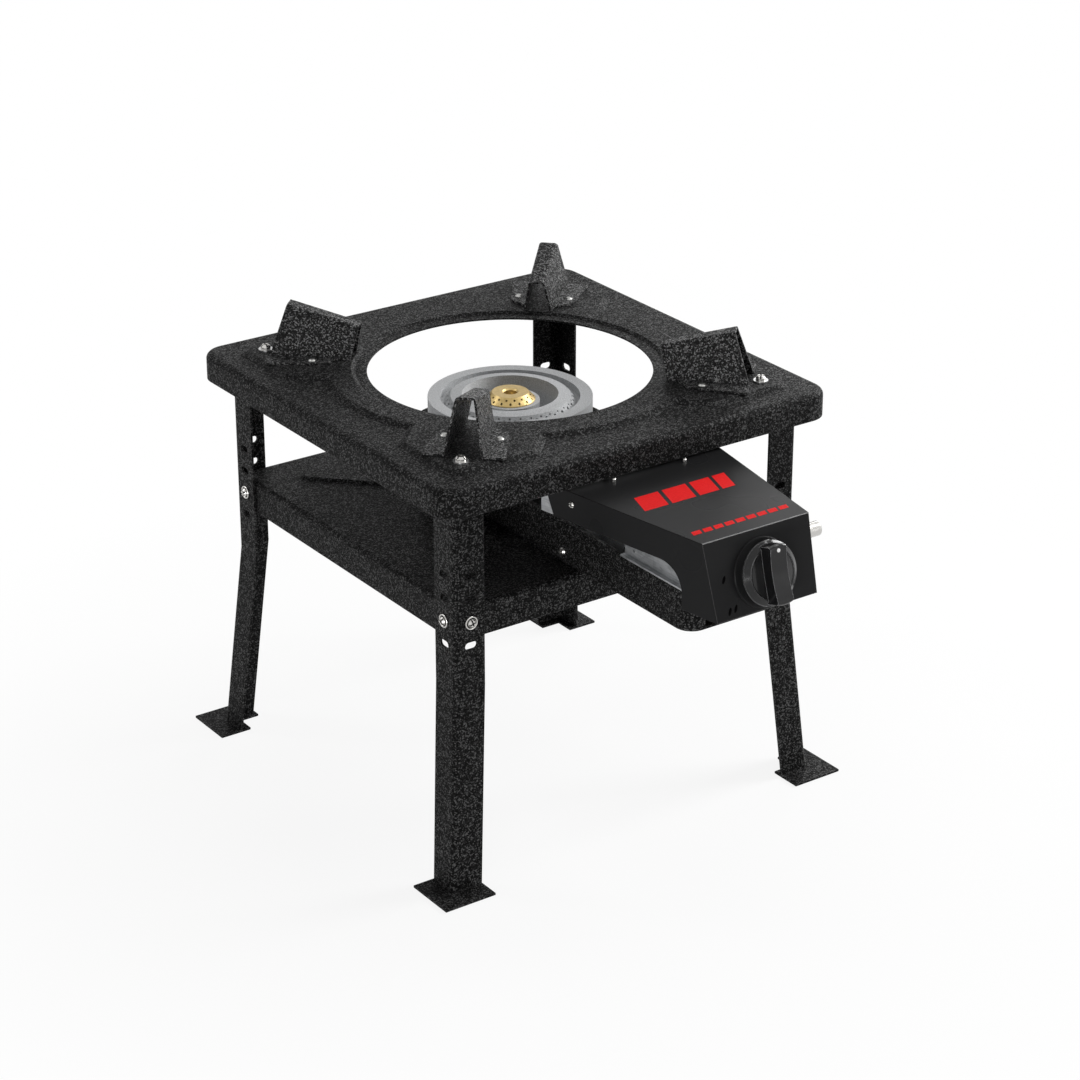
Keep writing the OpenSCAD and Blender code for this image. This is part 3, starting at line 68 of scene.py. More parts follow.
class Nodes:
    """A new material with a Principled shader, and short calls that add nodes to it."""

    def __init__(self, name, colour, roughness, metallic=0.0):
        self.material = bpy.data.materials.new(name)
        self.material.use_nodes = True
        self.tree = self.material.node_tree
        self.shader = self.tree.nodes["Principled BSDF"]
        self.set("Base Color", (*colour, 1.0))
        self.set("Roughness", roughness)
        self.set("Metallic", metallic)
        coords = self.tree.nodes.new("ShaderNodeTexCoord")
        self.place = coords.outputs["Object"]

    def set(self, socket, value):
        self.shader.inputs[socket].default_value = value

    def link(self, output, node, socket):
        self.tree.links.new(output, node.inputs[socket])

    def feed(self, value, node, socket):
        """Sets a socket to a number or a tuple, or links an output to it."""
        if isinstance(value, (int, float, tuple)):
            node.inputs[socket].default_value = value
        else:
            self.link(value, node, socket)

    def noise(self, scale, detail=2.0, rough=0.5, stretch=None):
        """Soft clouds; stretch gives how much finer they are along each axis."""
        node = self.tree.nodes.new("ShaderNodeTexNoise")
        node.inputs["Scale"].default_value = scale
        node.inputs["Detail"].default_value = detail
        node.inputs["Roughness"].default_value = rough
        self.link(self.stretched(stretch), node, "Vector")
        return node.outputs["Fac"]

    def stretched(self, stretch):
        """The place on the object, scaled along each axis when a stretch is given."""
        if stretch is None:
            return self.place
        node = self.tree.nodes.new("ShaderNodeMapping")
        node.inputs["Scale"].default_value = stretch
        self.link(self.place, node, "Vector")
        return node.outputs["Vector"]

    def ramp(self, value, *stops):
        """Maps a value to a colour through stops of (position, grey or colour)."""
        node = self.tree.nodes.new("ShaderNodeValToRGB")
        ramp = node.color_ramp
        while len(ramp.elements) < len(stops):
            ramp.elements.new(0.5)
        for element, (position, colour) in zip(ramp.elements, stops):
            element.position = position
            rgb = (colour,) * 3 if isinstance(colour, float) else colour
            element.color = (*rgb, 1.0)
        self.link(value, node, "Fac")
        return node.outputs["Color"]

    def cell_value(self, scale):
        """A random grey for each small cell."""
        cells = self.tree.nodes.new("ShaderNodeTexVoronoi")
        cells.inputs["Scale"].default_value = scale
        self.link(self.place, cells, "Vector")
        parts = self.tree.nodes.new("ShaderNodeSeparateColor")
        self.link(cells.outputs["Color"], parts, "Color")
        return parts.outputs["Red"]

    def soft_edges(self, radius):
        """Rounds the shading of sharp edges, and feeds it to the first bump."""
        node = self.tree.nodes.new("ShaderNodeBevel")
        node.samples = 4
        node.inputs["Radius"].default_value = radius
        first = [b for b in self.tree.nodes
                 if b.type == "BUMP" and not b.inputs["Normal"].links]
        if first:
            self.link(node.outputs["Normal"], first[0], "Normal")
        else:
            self.link(node.outputs["Normal"], self.shader, "Normal")

    def flat_normal(self):
        """The normal of the face itself."""
        return self.tree.nodes.new("ShaderNodeNewGeometry").outputs["Normal"]

    def bent_normal(self, radius):
        """The normal as if sharp edges were rounded."""
        node = self.tree.nodes.new("ShaderNodeBevel")
        node.samples = 6
        node.inputs["Radius"].default_value = radius
        return node.outputs["Normal"]

    def dot(self, a, b):
        """How far two directions agree, 1 for the same one."""
        node = self.tree.nodes.new("ShaderNodeVectorMath")
        node.operation = "DOT_PRODUCT"
        self.feed(a, node, 0)
        self.feed(b, node, 1)
        return node.outputs["Value"]

    def edge_share(self, radius):
        """1 on sharp edges and 0 on flat faces."""
        agreement = self.dot(self.bent_normal(radius), self.flat_normal())
        return self.ramp(agreement, (0.88, 1.0), (0.985, 0.0))

    def math(self, operation, a, b):
        node = self.tree.nodes.new("ShaderNodeMath")
        node.operation = operation
        self.feed(a, node, 0)
        self.feed(b, node, 1)
        return node.outputs["Value"]

    def mix(self, share, a, b):
        """Colour a, and colour b where the share is 1."""
        node = self.tree.nodes.new("ShaderNodeMix")
        node.data_type = "RGBA"
        sockets = {s.name: s for s in node.inputs if s.enabled and s.type in ("RGBA", "VALUE")}
        self.tree.links.new(share, sockets["Factor"])
        for name, colour in (("A", a), ("B", b)):
            if isinstance(colour, tuple):
                sockets[name].default_value = (*colour, 1.0)
            else:
                self.tree.links.new(colour, sockets[name])
        return next(s for s in node.outputs if s.type == "RGBA" and s.enabled)

    def bump(self, height, strength, distance):
        """Adds a bump to those the shader has already."""
        node = self.tree.nodes.new("ShaderNodeBump")
        node.inputs["Strength"].default_value = strength
        node.inputs["Distance"].default_value = distance
        self.link(height, node, "Height")
        previous = self.shader.inputs["Normal"].links
        if previous:
            self.link(previous[0].from_socket, node, "Normal")
        self.link(node.outputs["Normal"], self.shader, "Normal")

    def turning(self, scale):
        """Uneven rings round the burner's axis, as a lathe tool leaves them."""
        centred = self.tree.nodes.new("ShaderNodeVectorMath")
        centred.operation = "SUBTRACT"
        centred.inputs[1].default_value = (0, BURNER_Y, 0)
        self.link(self.place, centred, 0)
        rings = self.tree.nodes.new("ShaderNodeTexWave")
        rings.wave_type = "RINGS"
        rings.rings_direction = "Z"
        rings.inputs["Scale"].default_value = scale
        rings.inputs["Distortion"].default_value = 3.0
        self.link(centred.outputs["Vector"], rings, "Vector")
        return rings.outputs["Fac"]


PAINT = (0.0150, 0.0150, 0.0155)
# Painted shade along the side folds of the cover's top
SIDE_FOLD_SHADE = (0.0008,) * 3
# Painted highlights on the cover's front edges and on its front-top fold
FRONT_EDGE_HIGHLIGHT = (0.12,) * 3
TOP_FOLD_HIGHLIGHT = (0.42,) * 3
# Painted highlight on the black coat's sharp edges
COAT_EDGE_HIGHLIGHT = (0.10,) * 3
PLASTIC = (0.006, 0.006, 0.0065)
# Painted highlight on the knob's thin edges
PLASTIC_EDGE_HIGHLIGHT = (0.45, 0.45, 0.46)

# Directions halfway round the folds of the cover's top, where satin_black paints highlights and shade
FRONT_FOLD = (0.0, -0.603, 0.798)
LEFT_FOLD = (-0.70, -0.12, 0.70)
RIGHT_FOLD = (0.70, -0.12, 0.70)


def hammered_black(name, shine=0.055, gain=1.0):
    """Black powder coat with a finely wrinkled skin and grey specks of about a millimetre.

    The gain makes the specks brighter.
    """
    n = Nodes(name, (0.008, 0.008, 0.009), 0.5)
    specks = n.cell_value(950)
    fine = n.noise(1700, 2.0, 0.6)
    patches = n.noise(210)
    blend = n.math("ADD", n.math("MULTIPLY", specks, 0.7), n.math("MULTIPLY", fine, 0.3))
    blend = n.math("ADD", blend, n.math("MULTIPLY", n.math("SUBTRACT", patches, 0.5), 0.2))
    speck = n.ramp(blend, (0.38, 0.0006 * gain), (0.53, 0.004 * gain), (0.66, 0.020 * gain),
                   (0.80, 0.085 * gain))
    # Painted highlight: the coat's sharp edges are lightened
    edges = n.math("MULTIPLY", n.edge_share(0.0007), 0.4)
    n.link(n.mix(edges, speck, COAT_EDGE_HIGHLIGHT), n.shader, "Base Color")
    n.link(n.ramp(blend, (0.40, 0.60), (0.78, 0.30)), n.shader, "Roughness")
    n.bump(blend, 0.8, 0.0007)
    n.bump(patches, 0.2, 0.0010)
    n.soft_edges(0.0008)
    n.set("Specular IOR Level", shine)
    return n.material


def satin_black(name, folds=True):
    """Smooth black paint, with painted highlights along the folds round the front face and painted shade along the
    folds at the sides.
    """
    n = Nodes(name, PAINT, 0.3)
    cloud = n.noise(22, 1.0, 0.4)
    if folds:
        # Painted highlights on the front face's edges and on the front-top fold; the folds flag turns this painted
        # light and shade on
        front = n.ramp(n.dot(n.flat_normal(), (0.0, -1.0, 0.0)), (0.35, 0.0), (0.50, 1.0))
        sides = n.math("MULTIPLY", n.edge_share(0.0011), front)
        bent = n.bent_normal(0.0012)
        top = n.ramp(n.dot(bent, FRONT_FOLD), (0.83, 0.0), (0.90, 1.0))
        # Painted shade along the side folds
        side_folds = n.math("MAXIMUM", n.dot(bent, LEFT_FOLD), n.dot(bent, RIGHT_FOLD))
        side_fold_shade_mask = n.ramp(side_folds, (0.80, 0.0), (0.88, 1.0))
        paint = n.mix(side_fold_shade_mask, PAINT, SIDE_FOLD_SHADE)
        paint = n.mix(sides, paint, FRONT_EDGE_HIGHLIGHT)
        n.link(n.mix(top, paint, TOP_FOLD_HIGHLIGHT), n.shader, "Base Color")
    n.link(n.ramp(cloud, (0.3, 0.27), (0.7, 0.33)), n.shader, "Roughness")
    n.bump(n.noise(1400), 0.05, 0.0001)
    n.soft_edges(0.0010)
    n.set("Specular IOR Level", 0.045)
    return n.material


def galvanised(name):
    """Rolled zinc-coated sheet: faint streaks, a few flakes and a cloudy sheen."""
    n = Nodes(name, (0.36, 0.37, 0.38), 0.45, 0.85)
    streaks = n.noise(90, 3.0, 0.6, (1.0, 0.25, 6.0))
    flakes = n.cell_value(220)
    blend = n.math("ADD", n.math("MULTIPLY", streaks, 0.8), n.math("MULTIPLY", flakes, 0.2))
    zinc = n.ramp(blend, (0.3, (0.27, 0.28, 0.29)), (0.7, (0.46, 0.47, 0.48)))
    n.link(zinc, n.shader, "Base Color")
    n.link(n.ramp(n.noise(180, 3.0, 0.6), (0.3, 0.34), (0.7, 0.50)), n.shader, "Roughness")
    return n.material


def cast_metal(name):
    """Grey casting with a sandy skin and faint turning rings round the burner's axis."""
    n = Nodes(name, (0.46, 0.47, 0.48), 0.5, 0.05)
    grain = n.noise(1100, 3.0, 0.6)
    skin = n.ramp(grain, (0.3, (0.34, 0.345, 0.35)), (0.7, (0.61, 0.62, 0.63)))
    n.link(skin, n.shader, "Base Color")
    n.link(n.ramp(n.noise(140, 3.0, 0.6), (0.3, 0.40), (0.7, 0.56)), n.shader, "Roughness")
    n.bump(grain, 0.3, 0.0003)
    n.bump(n.turning(260), 0.12, 0.0002)
    n.set("Specular IOR Level", 0.08)
    return n.material


def brass(name):
    """Turned brass, a little clouded."""
    n = Nodes(name, (0.72, 0.52, 0.20), 0.3, 0.7)
    cloud = n.noise(300, 3.0, 0.6)
    tone = n.ramp(cloud, (0.3, (0.42, 0.30, 0.11)), (0.7, (0.55, 0.41, 0.18)))
    n.link(tone, n.shader, "Base Color")
    n.link(n.ramp(cloud, (0.3, 0.30), (0.7, 0.42)), n.shader, "Roughness")
    n.bump(n.turning(420), 0.15, 0.0002)
    return n.material


def plain_metal(name, colour, roughness, low, high, scale):
    """Bare or plated steel whose roughness wanders between low and high."""
    n = Nodes(name, colour, roughness, 1.0)
    n.link(n.ramp(n.noise(scale), (0.3, low), (0.7, high)), n.shader, "Roughness")
    return n.material


def knob_plastic(name):
    """Smooth black plastic with painted highlights along its thin edges."""
    n = Nodes(name, PLASTIC, 0.12)
    n.link(n.ramp(n.noise(90), (0.3, 0.10), (0.7, 0.15)), n.shader, "Roughness")
    # Painted highlight along the thin edges
    edges = n.math("MULTIPLY", n.edge_share(0.0005), 0.7)
    n.link(n.mix(edges, PLASTIC, PLASTIC_EDGE_HIGHLIGHT), n.shader, "Base Color")
    n.bump(n.noise(1600), 0.02, 0.0001)
    n.set("Specular IOR Level", 0.35)
    return n.material


def matte_black(name):
    """Dull black for the pressed flame marks, and painted shade in the screws' slots."""
    n = Nodes(name, (0.0008, 0.0008, 0.0008), 0.6)
    n.link(n.ramp(n.noise(700), (0.3, 0.55), (0.7, 0.65)), n.shader, "Roughness")
    n.set("Specular IOR Level", 0.02)
    return n.material


def white_mark(name):
    """White paint of the knob's pointer."""
    n = Nodes(name, (0.8, 0.8, 0.8), 0.4)
    n.link(n.ramp(n.noise(900), (0.3, 0.36), (0.7, 0.46)), n.shader, "Roughness")
    return n.material


def red_print(name):
    """Flat red ink."""
    n = Nodes(name, (0.80, 0.012, 0.012), 0.5)
    ink = n.ramp(n.noise(700), (0.3, (0.76, 0.008, 0.010)), (0.7, (0.84, 0.016, 0.016)))
    n.link(ink, n.shader, "Base Color")
    n.set("Specular IOR Level", 0.05)
    return n.material


def fibre_seal(name):
    """Red-brown fibre."""
    n = Nodes(name, (0.2, 0.05, 0.03), 0.8)
    fibre = n.ramp(n.noise(900, 3.0, 0.6), (0.3, (0.15, 0.03, 0.02)), (0.7, (0.25, 0.07, 0.04)))
    n.link(fibre, n.shader, "Base Color")
    return n.material


FINISHES = {
    "black_coat": hammered_black("black_coat"),
    "satin_black": satin_black("satin_black"),
    "zinc": galvanised("zinc"),
    "cast_metal": cast_metal("cast_metal"),
    "brass": brass("brass"),
    "bright": plain_metal("bright", (0.55, 0.54, 0.52), 0.26, 0.20, 0.34, 500),
    "steel_bar": plain_metal("steel_bar", (0.50, 0.50, 0.50), 0.32, 0.26, 0.40, 700),
    "knob_plastic": knob_plastic("knob_plastic"),
    "white_mark": white_mark("white_mark"),
    "seal": fibre_seal("seal"),
}
RED_PRINT = red_print("red_print")
MATTE_BLACK = matte_black("matte_black")
# Painted sheen: the supports' coat is the black coat with its specks brightened 2.6 times to stand in for the
# sheen the supports catch
SUPPORT_COAT_SHEEN = hammered_black("support_coat_painted_sheen", shine=0.10, gain=2.6)
SUPPORTS = ["pot_support_" + corner
            for corner in ("front_left", "front_right", "back_left", "back_right")]

# Nodes whose finish differs a little from their slot's
OWN_FINISH = {
    "corner_washers": FINISHES["steel_bar"],
    "knob_bezel": satin_black("bezel_black", folds=False),
    "support_rivets": plain_metal("dull_steel", (0.30, 0.30, 0.29), 0.38, 0.30, 0.46, 700),
    **{name: SUPPORT_COAT_SHEEN for name in SUPPORTS},
}


def dress_frame():
    """Gives every CAD node the finish of its slot."""
    slots = {part["node"]: part["material_slot"] for part in frame["record"]["subparts"]}
    for name, piece in frame["nodes"].items():
        finish = OWN_FINISH.get(name, FINISHES[slots[name]])
        if not piece.data.materials:
            piece.data.materials.append(finish)
        for index in range(len(piece.material_slots)):
            piece.material_slots[index].material = finish


dress_frame()


# Pieces that only the scene has: print, marks, springs, screws and the cap's cup

COVER_TAPER = math.radians(9.72)
QUARTER_TURN = math.pi / 2


def on_face(x, up):
    """A matrix at a point of the cover's front face, with +Z out of the face.

    The point is given in millimetres from the knob's axis.
    """
    place = TAP_POINT + Vector((x * MM, 0, 0)) + FACE_UP * up * MM
    turn = Matrix((Vector((1, 0, 0)), FACE_UP, FACE_OUT)).transposed().to_4x4()
    return Matrix.Translation(place) @ turn


def along(place, direction):
    """A matrix at a place, with +Z along a direction."""
    turn = Vector(direction).to_track_quat("Z", "X").to_matrix().to_4x4()
    return Matrix.Translation(place) @ turn


def moved(matrix, x, y, z):
    """The matrix moved along its own axes, in millimetres."""
    return matrix @ Matrix.Translation((x * MM, y * MM, z * MM))


def leaning(share):
    """A matrix that leans a shape along X by a share of its height along Y."""
    lean = Matrix.Identity(4)
    lean[0][1] = share
    return lean


def open_edges(mesh):
    """The edges round holes of a mesh."""
    return [edge for edge in mesh.edges if edge.is_boundary]


def with_edges(verts):
    """Vertices and the edges between them, as spin takes them."""
    return verts + list(dict.fromkeys(edge for vert in verts for edge in vert.link_edges))


def add_piece(name, body, slot, build, smooth=False, finish=None):
    """A new piece whose mesh is made by build(mesh) in the row frame.

    The finish is its slot's own unless another is given.
    """
    mesh = bmesh.new()
    build(mesh)
    bmesh.ops.recalc_face_normals(mesh, faces=mesh.faces)
    for face in mesh.faces:
        face.smooth = smooth
    data = bpy.data.meshes.new(name)
    mesh.to_mesh(data)
    mesh.free()
    data.materials.append(finish or FINISHES[slot])
    piece = bpy.data.objects.new(name, data)
    bpy.context.collection.objects.link(piece)
    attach(piece, body)
    return piece


def add_block(mesh, matrix, size):
    """A box of a size in millimetres, centred on the matrix."""
    size_matrix = Matrix.Diagonal((*[side * MM for side in size], 1.0))
    bmesh.ops.create_cube(mesh, size=1.0, matrix=matrix @ size_matrix)


def add_coil(mesh, matrix, coil_r, wire_r, length, turns, steps=20, sides=8):
    """A helical wire along the matrix's +Z, in millimetres."""
    ring = bmesh.ops.create_circle(mesh, segments=sides, radius=wire_r * MM)["verts"]
    stand = moved(matrix, coil_r, 0, 0) @ Matrix.Rotation(QUARTER_TURN, 4, "X")
    bmesh.ops.transform(mesh, matrix=stand, verts=ring)
    axis = matrix.to_3x3() @ Vector((0, 0, 1))
    count = round(turns * steps)
    bmesh.ops.spin(mesh, geom=with_edges(ring), cent=matrix.translation, axis=axis,
                   angle=turns * 2 * math.pi, dvec=axis * (length * MM / count), steps=count)
    bmesh.ops.holes_fill(mesh, edges=open_edges(mesh))


def add_disc(mesh, matrix, low_r, high_r, low, high):
    """A round disc or cone between two heights along the matrix's +Z, in millimetres."""
    bmesh.ops.create_cone(mesh, cap_ends=True, segments=40, radius1=low_r * MM,
                          radius2=high_r * MM, depth=(high - low) * MM,
                          matrix=moved(matrix, 0, 0, (low + high) / 2))


def quarter_disc(low_r, high_r, low, high, slot):
    """Mesh data of the part of a disc beyond half a slot's width from both axes."""
    part = bmesh.new()
    add_disc(part, Matrix(), low_r, high_r, low, high)
    for away in (Vector((-1, 0, 0)), Vector((0, -1, 0))):
        everything = part.verts[:] + part.edges[:] + part.faces[:]
        bmesh.ops.bisect_plane(part, geom=everything, plane_co=away * (-slot / 2 * MM),
                               plane_no=away, clear_outer=True)
        bmesh.ops.holes_fill(part, edges=open_edges(part))
    data = bpy.data.meshes.new("quarter")
    part.to_mesh(data)
    part.free()
    return data


def add_ring(mesh, matrix, ring_r, wire_r):
    """A closed ring of round section, in millimetres, resting on the matrix's origin."""
    section = bmesh.ops.create_circle(mesh, segments=10, radius=wire_r * MM)["verts"]
    stand = moved(matrix, ring_r, 0, wire_r) @ Matrix.Rotation(QUARTER_TURN, 4, "X")
    bmesh.ops.transform(mesh, matrix=stand, verts=section)
    axis = matrix.to_3x3() @ Vector((0, 0, 1))
    bmesh.ops.spin(mesh, geom=with_edges(section), cent=matrix.translation, axis=axis,
                   angle=2 * math.pi, steps=40, use_merge=True)


def add_cross_screw(mesh, slots, matrix, head_r, head_h, shank_r, shank):
    """A pan-head screw with a cross slot, seated at the matrix's origin and threaded at its end.

    The slot's floor, a black block of painted shade, goes into the mesh called slots.
    """
    slot_low = head_h * 0.5
    slot = head_r * 0.34
    slot_long = head_r * 1.7
    add_disc(mesh, matrix, head_r, head_r, 0, slot_low)
    quarter = quarter_disc(head_r, head_r * 0.7, slot_low, head_h, slot)
    for turn in range(4):
        copy = quarter.copy()
        copy.transform(matrix @ Matrix.Rotation(turn * QUARTER_TURN, 4, "Z"))
        mesh.from_mesh(copy)
        bpy.data.meshes.remove(copy)
    bpy.data.meshes.remove(quarter)
    # Black blocks on the slots' floors, as painted shade
    for size in ((slot_long, slot, 0.1), (slot, slot_long, 0.12)):
        add_block(slots, moved(matrix, 0, 0, slot_low), size)
    add_disc(mesh, matrix, shank_r, shank_r, -shank, 0.2)
    add_coil(mesh, moved(matrix, 0, 0, 0.4 - shank), shank_r, 0.22, 2.0, 2.5, steps=16, sides=6)


# Head radius, head height and shank radius of the three kinds of screw, in millimetres
TRAY_SCREW = (3.8, 3.4, 2.5)
CORNER_BOLT = (4.4, 3.8, 3.0)
COVER_SCREW = (2.7, 1.9, 1.9)
TRAY_SHANK = 10.2
COVER_SHANK = 5.2
# From the leg's outer face to the axis of a tray screw, and from the end of the corner bolts'
# box to a bolt's axis
TRAY_SCREW_IN = 16
CORNER_BOLT_IN = 5


def make_screws():
    """Cross-slotted screws in the tray, the plate's corners and the cover."""
    tray_low, tray_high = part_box("tray_screws")
    face = tray_high.x - TRAY_SCREW[1] * MM
    bolts_low, bolts_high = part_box("corner_bolts")
    corner = bolts_high.x - CORNER_BOLT_IN * MM
    cover_low, cover_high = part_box("cover_screws")
    slots = bmesh.new()

    def turned(matrix, index):
        """The matrix turned so that no two slots stand the same way."""
        return matrix @ Matrix.Rotation(0.55 * index + 0.3, 4, "Z")

    def tray(mesh):
        centre = Matrix.Translation((0, BURNER_Y, (tray_low.z + tray_high.z) / 2))
        for index in range(8):
            side = (index % 2 * 2 - 1) * (face - TRAY_SCREW_IN * MM)
            place = centre @ Matrix.Rotation(index // 2 * QUARTER_TURN, 4, "Z")
            place = place @ Matrix.Translation((side, -face, 0))
            place = place @ Matrix.Rotation(QUARTER_TURN, 4, "X")
            add_ring(mesh, place, 5.3, 0.7)
            add_cross_screw(mesh, slots, turned(place, index), *TRAY_SCREW, TRAY_SHANK)

    def corners(mesh):
        seat = bolts_high.z - CORNER_BOLT[1] * MM
        shank = (seat - bolts_low.z) / MM
        for index in range(4):
            x, y = index % 2 * 2 - 1, index // 2 * 2 - 1
            place = Matrix.Translation((x * corner, BURNER_Y + y * corner, seat))
            add_cross_screw(mesh, slots, turned(place, index), *CORNER_BOLT, shank)

    def cover(mesh):
        for side in (-1, 1):
            out = Vector((side * math.cos(COVER_TAPER), -math.sin(COVER_TAPER), 0))
            middle = (cover_low + cover_high) / 2
            place = Vector((side * (cover_high.x - 2.74 * MM), middle.y + 0.2 * MM, middle.z))
            place = turned(along(place, out), side)
            add_cross_screw(mesh, slots, place, *COVER_SCREW, COVER_SHANK)

    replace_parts(add_piece("washer_screws", "frame", "bright", tray), "tray_screws")
    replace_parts(add_piece("pan_bolts", "frame", "bright", corners), "corner_bolts")
    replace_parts(add_piece("side_screws", "frame", "bright", cover), "cover_screws")
    # The slots' black floors are painted shade
    dark = bpy.data.meshes.new("slots")
    slots.to_mesh(dark)
    slots.free()
    add_piece("screw_slot_shade", "frame", "bright", lambda mesh: mesh.from_mesh(dark),
              finish=MATTE_BLACK)


def make_print():
    """Red bars and dashes of no meaning on the cover's top."""
    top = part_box("control_cover")[1].z + 0.04 * MM

    def add_bar(mesh, x, y, wide, deep):
        place = burner_point(x, y, 0)
        place.z = top
        add_block(mesh, Matrix.Translation(place) @ leaning(0.32), (wide, deep, 0.12))

    def bars(mesh):
        for x, wide in ((-36, 24), (-8, 24), (18, 20), (38, 13)):
            add_bar(mesh, x, -253.5, wide, 26)

    def dashes(mesh):
        for index in range(9):
            add_bar(mesh, -44 + 11 * index, -323.6, 8.6, 6.2)

    add_piece("print_bars", "frame", "satin_black", bars, finish=RED_PRINT)
    add_piece("print_dashes", "frame", "satin_black", dashes, finish=RED_PRINT)


def make_marks():
    """One stroke and two strokes beside the knob, for its two flame settings."""

    def strokes(mesh):
        for x, up in ((-38.5, 3), (-37.0, -23.3), (-31.0, -22.4)):
            leaf = Matrix.Diagonal((1.5, 3.1, 0.5, 1.0))
            bmesh.ops.create_uvsphere(mesh, u_segments=20, v_segments=12, radius=MM,
                                      matrix=on_face(x, up) @ leaning(0.38) @ leaf)

    add_piece("dial_marks", "frame", "knob_plastic", strokes, smooth=True, finish=MATTE_BLACK)


def make_springs():
    """Wound springs between the jets and the air shutters, in place of the plain sleeves."""
    low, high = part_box("shutter_springs")
    middle = (low + high) / 2
    wire = 0.55
    coil_r = (high.z - low.z) / 2 / MM - wire
    length = (high.y - low.y) / MM - 2 * wire
    reach = (high.x - low.x) / 2 / MM - coil_r - wire

    def coils(mesh):
        for side in (-1, 1):
            place = Vector((middle.x + side * reach * MM, low.y + wire * MM, middle.z))
            add_coil(mesh, along(place, (0, 1, 0)), coil_r, wire, length, 4)

    springs = add_piece("wound_springs", "frame", "bright", coils, smooth=True)
    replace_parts(springs, "shutter_springs")


def make_cap_cup():
    """The brass cup that shows inside the hole of the burner's cap."""
    cap_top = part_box("burner_cap")[1].z
    radius, wall, depth = 6.8, 0.7, 3.6

    def cup(mesh):
        place = Matrix.Translation((0, BURNER_Y, cap_top))
        add_disc(mesh, place, radius, radius, -7.2, -2.45)
        mesh.faces.ensure_lookup_table()
        top = max(mesh.faces, key=lambda face: face.calc_center_median().z)
        bmesh.ops.inset_region(mesh, faces=[top], thickness=wall * MM)
        bmesh.ops.translate(mesh, verts=list(top.verts), vec=(0, 0, -depth * MM))

    add_piece("cap_cup", "centre_cap", "brass", cup)


make_screws()
make_cap_cup()
make_print()
make_marks()
make_springs()


# Camera, light and floor

CAMERA_PLACE = burner_point(-1396.79, -2036.32, 1324.67)
CAMERA_TURN = -35.054
CAMERA_DROP = 24.356
SENSOR = 36.0
FOCAL_SHARE = 3025.41 / 1080
WHITE = (1, 1, 1, 1)
AMBIENT = 0.06
# Place, size and watts of each lamp
LAMPS = {
    "top_softbox": ((0.3, 0.2, 2.3), (1.6, 1.6), 8),
    "back_softbox": ((2.15, 1.4, 1.35), (1.2, 1.0), 12),
    "right_softbox": ((2.2, -0.45, 1.35), (1.0, 1.2), 58),
    "left_softbox": ((-1.85, -1.8, 0.35), (0.9, 0.5), 28),
    "front_fill": ((0.9, -2.6, 0.8), (1.2, 1.0), 6),
    "edge_lamp_top": ((1.3, -0.6, 2.3), (0.4, 0.4), 6),
    "edge_lamp_left": ((-1.2, 1.3, 2.0), (0.4, 0.4), 6),
}


def make_camera():
    data = bpy.data.cameras.new("camera")
    data.sensor_width = SENSOR
    data.lens = SENSOR * FOCAL_SHARE
    data.clip_end = 100
    camera = bpy.data.objects.new("camera", data)
    camera.location = CAMERA_PLACE
    camera.rotation_euler = (math.radians(90 - CAMERA_DROP), 0, math.radians(CAMERA_TURN))
    bpy.context.collection.objects.link(camera)
    bpy.context.scene.camera = camera


def area_light(name, place, size, power):
    """A softbox that faces the middle of the stove."""
    data = bpy.data.lights.new(name, "AREA")
    data.shape = "RECTANGLE"
    data.size, data.size_y = size
    data.energy = power
    lamp = bpy.data.objects.new(name, data)
    lamp.location = place
    towards = Vector((0, 0, 0.2)) - Vector(place)
    lamp.rotation_euler = towards.to_track_quat("-Z", "Y").to_euler()
    bpy.context.collection.objects.link(lamp)


def seen_directly(tree):
    """1 for rays that come from the camera, a mirror surface or glass, otherwise 0."""
    path = tree.nodes.new("ShaderNodeLightPath")
    total = path.outputs["Is Camera Ray"]
    for name in ("Is Glossy Ray", "Is Transmission Ray"):
        node = tree.nodes.new("ShaderNodeMath")
        node.operation = "MAXIMUM"
        tree.links.new(total, node.inputs[0])
        tree.links.new(path.outputs[name], node.inputs[1])
        total = node.outputs["Value"]
    return total


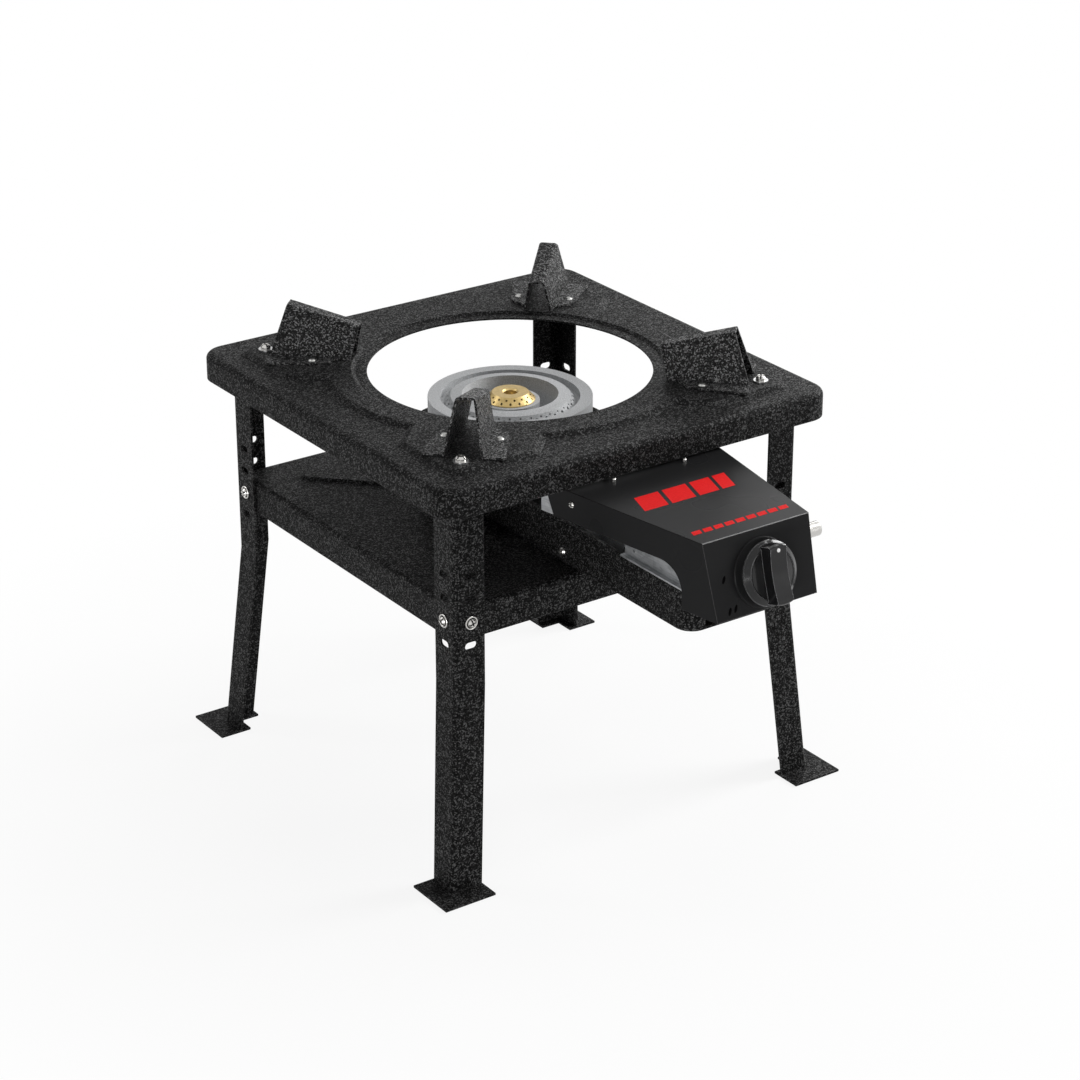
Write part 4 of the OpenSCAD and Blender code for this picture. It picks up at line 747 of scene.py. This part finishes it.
def make_world():
    """A plain light from all round, and pure white where it is seen directly."""
    world = bpy.data.worlds.new("studio")
    bpy.context.scene.world = world
    world.use_nodes = True
    tree = world.node_tree
    light = tree.nodes["Background"]
    light.inputs["Color"].default_value = WHITE
    light.inputs["Strength"].default_value = AMBIENT
    shown = tree.nodes.new("ShaderNodeBackground")
    shown.inputs["Color"].default_value = WHITE
    shown.inputs["Strength"].default_value = 1.0
    mix = tree.nodes.new("ShaderNodeMixShader")
    tree.links.new(seen_directly(tree), mix.inputs[0])
    tree.links.new(light.outputs["Background"], mix.inputs[1])
    tree.links.new(shown.outputs["Background"], mix.inputs[2])
    tree.links.new(mix.outputs["Shader"], tree.nodes["World Output"].inputs["Surface"])


def make_floor():
    """A white disc under the feet, a little greyer between them."""
    mesh = bmesh.new()
    bmesh.ops.create_circle(mesh, cap_ends=True, segments=96, radius=5.0,
                            matrix=Matrix.Translation((0, 0, -0.0005)))
    data = bpy.data.meshes.new("floor")
    mesh.to_mesh(data)
    mesh.free()
    floor = bpy.data.objects.new("floor", data)
    bpy.context.collection.objects.link(floor)
    n = Nodes("floor", (0.9, 0.9, 0.9), 0.9)
    glow = n.tree.nodes.new("ShaderNodeEmission")
    glow.inputs["Color"].default_value = WHITE
    mix = n.tree.nodes.new("ShaderNodeMixShader")
    far = n.tree.nodes.new("ShaderNodeVectorMath")
    far.operation = "LENGTH"
    n.link(n.place, far, 0)
    whiteness = n.ramp(far.outputs["Value"], (0.26, 0.88), (0.75, 1.0))
    share = n.math("MULTIPLY", seen_directly(n.tree), whiteness)
    n.link(share, mix, 0)
    n.link(n.shader.outputs["BSDF"], mix, 1)
    n.link(glow.outputs["Emission"], mix, 2)
    n.link(mix.outputs["Shader"], n.tree.nodes["Material Output"], "Surface")
    data.materials.append(n.material)


def make_studio():
    make_camera()
    make_world()
    make_floor()
    for name, (place, size, power) in LAMPS.items():
        area_light(name, place, size, power)
    bpy.context.scene.view_settings.view_transform = "Standard"


make_studio()
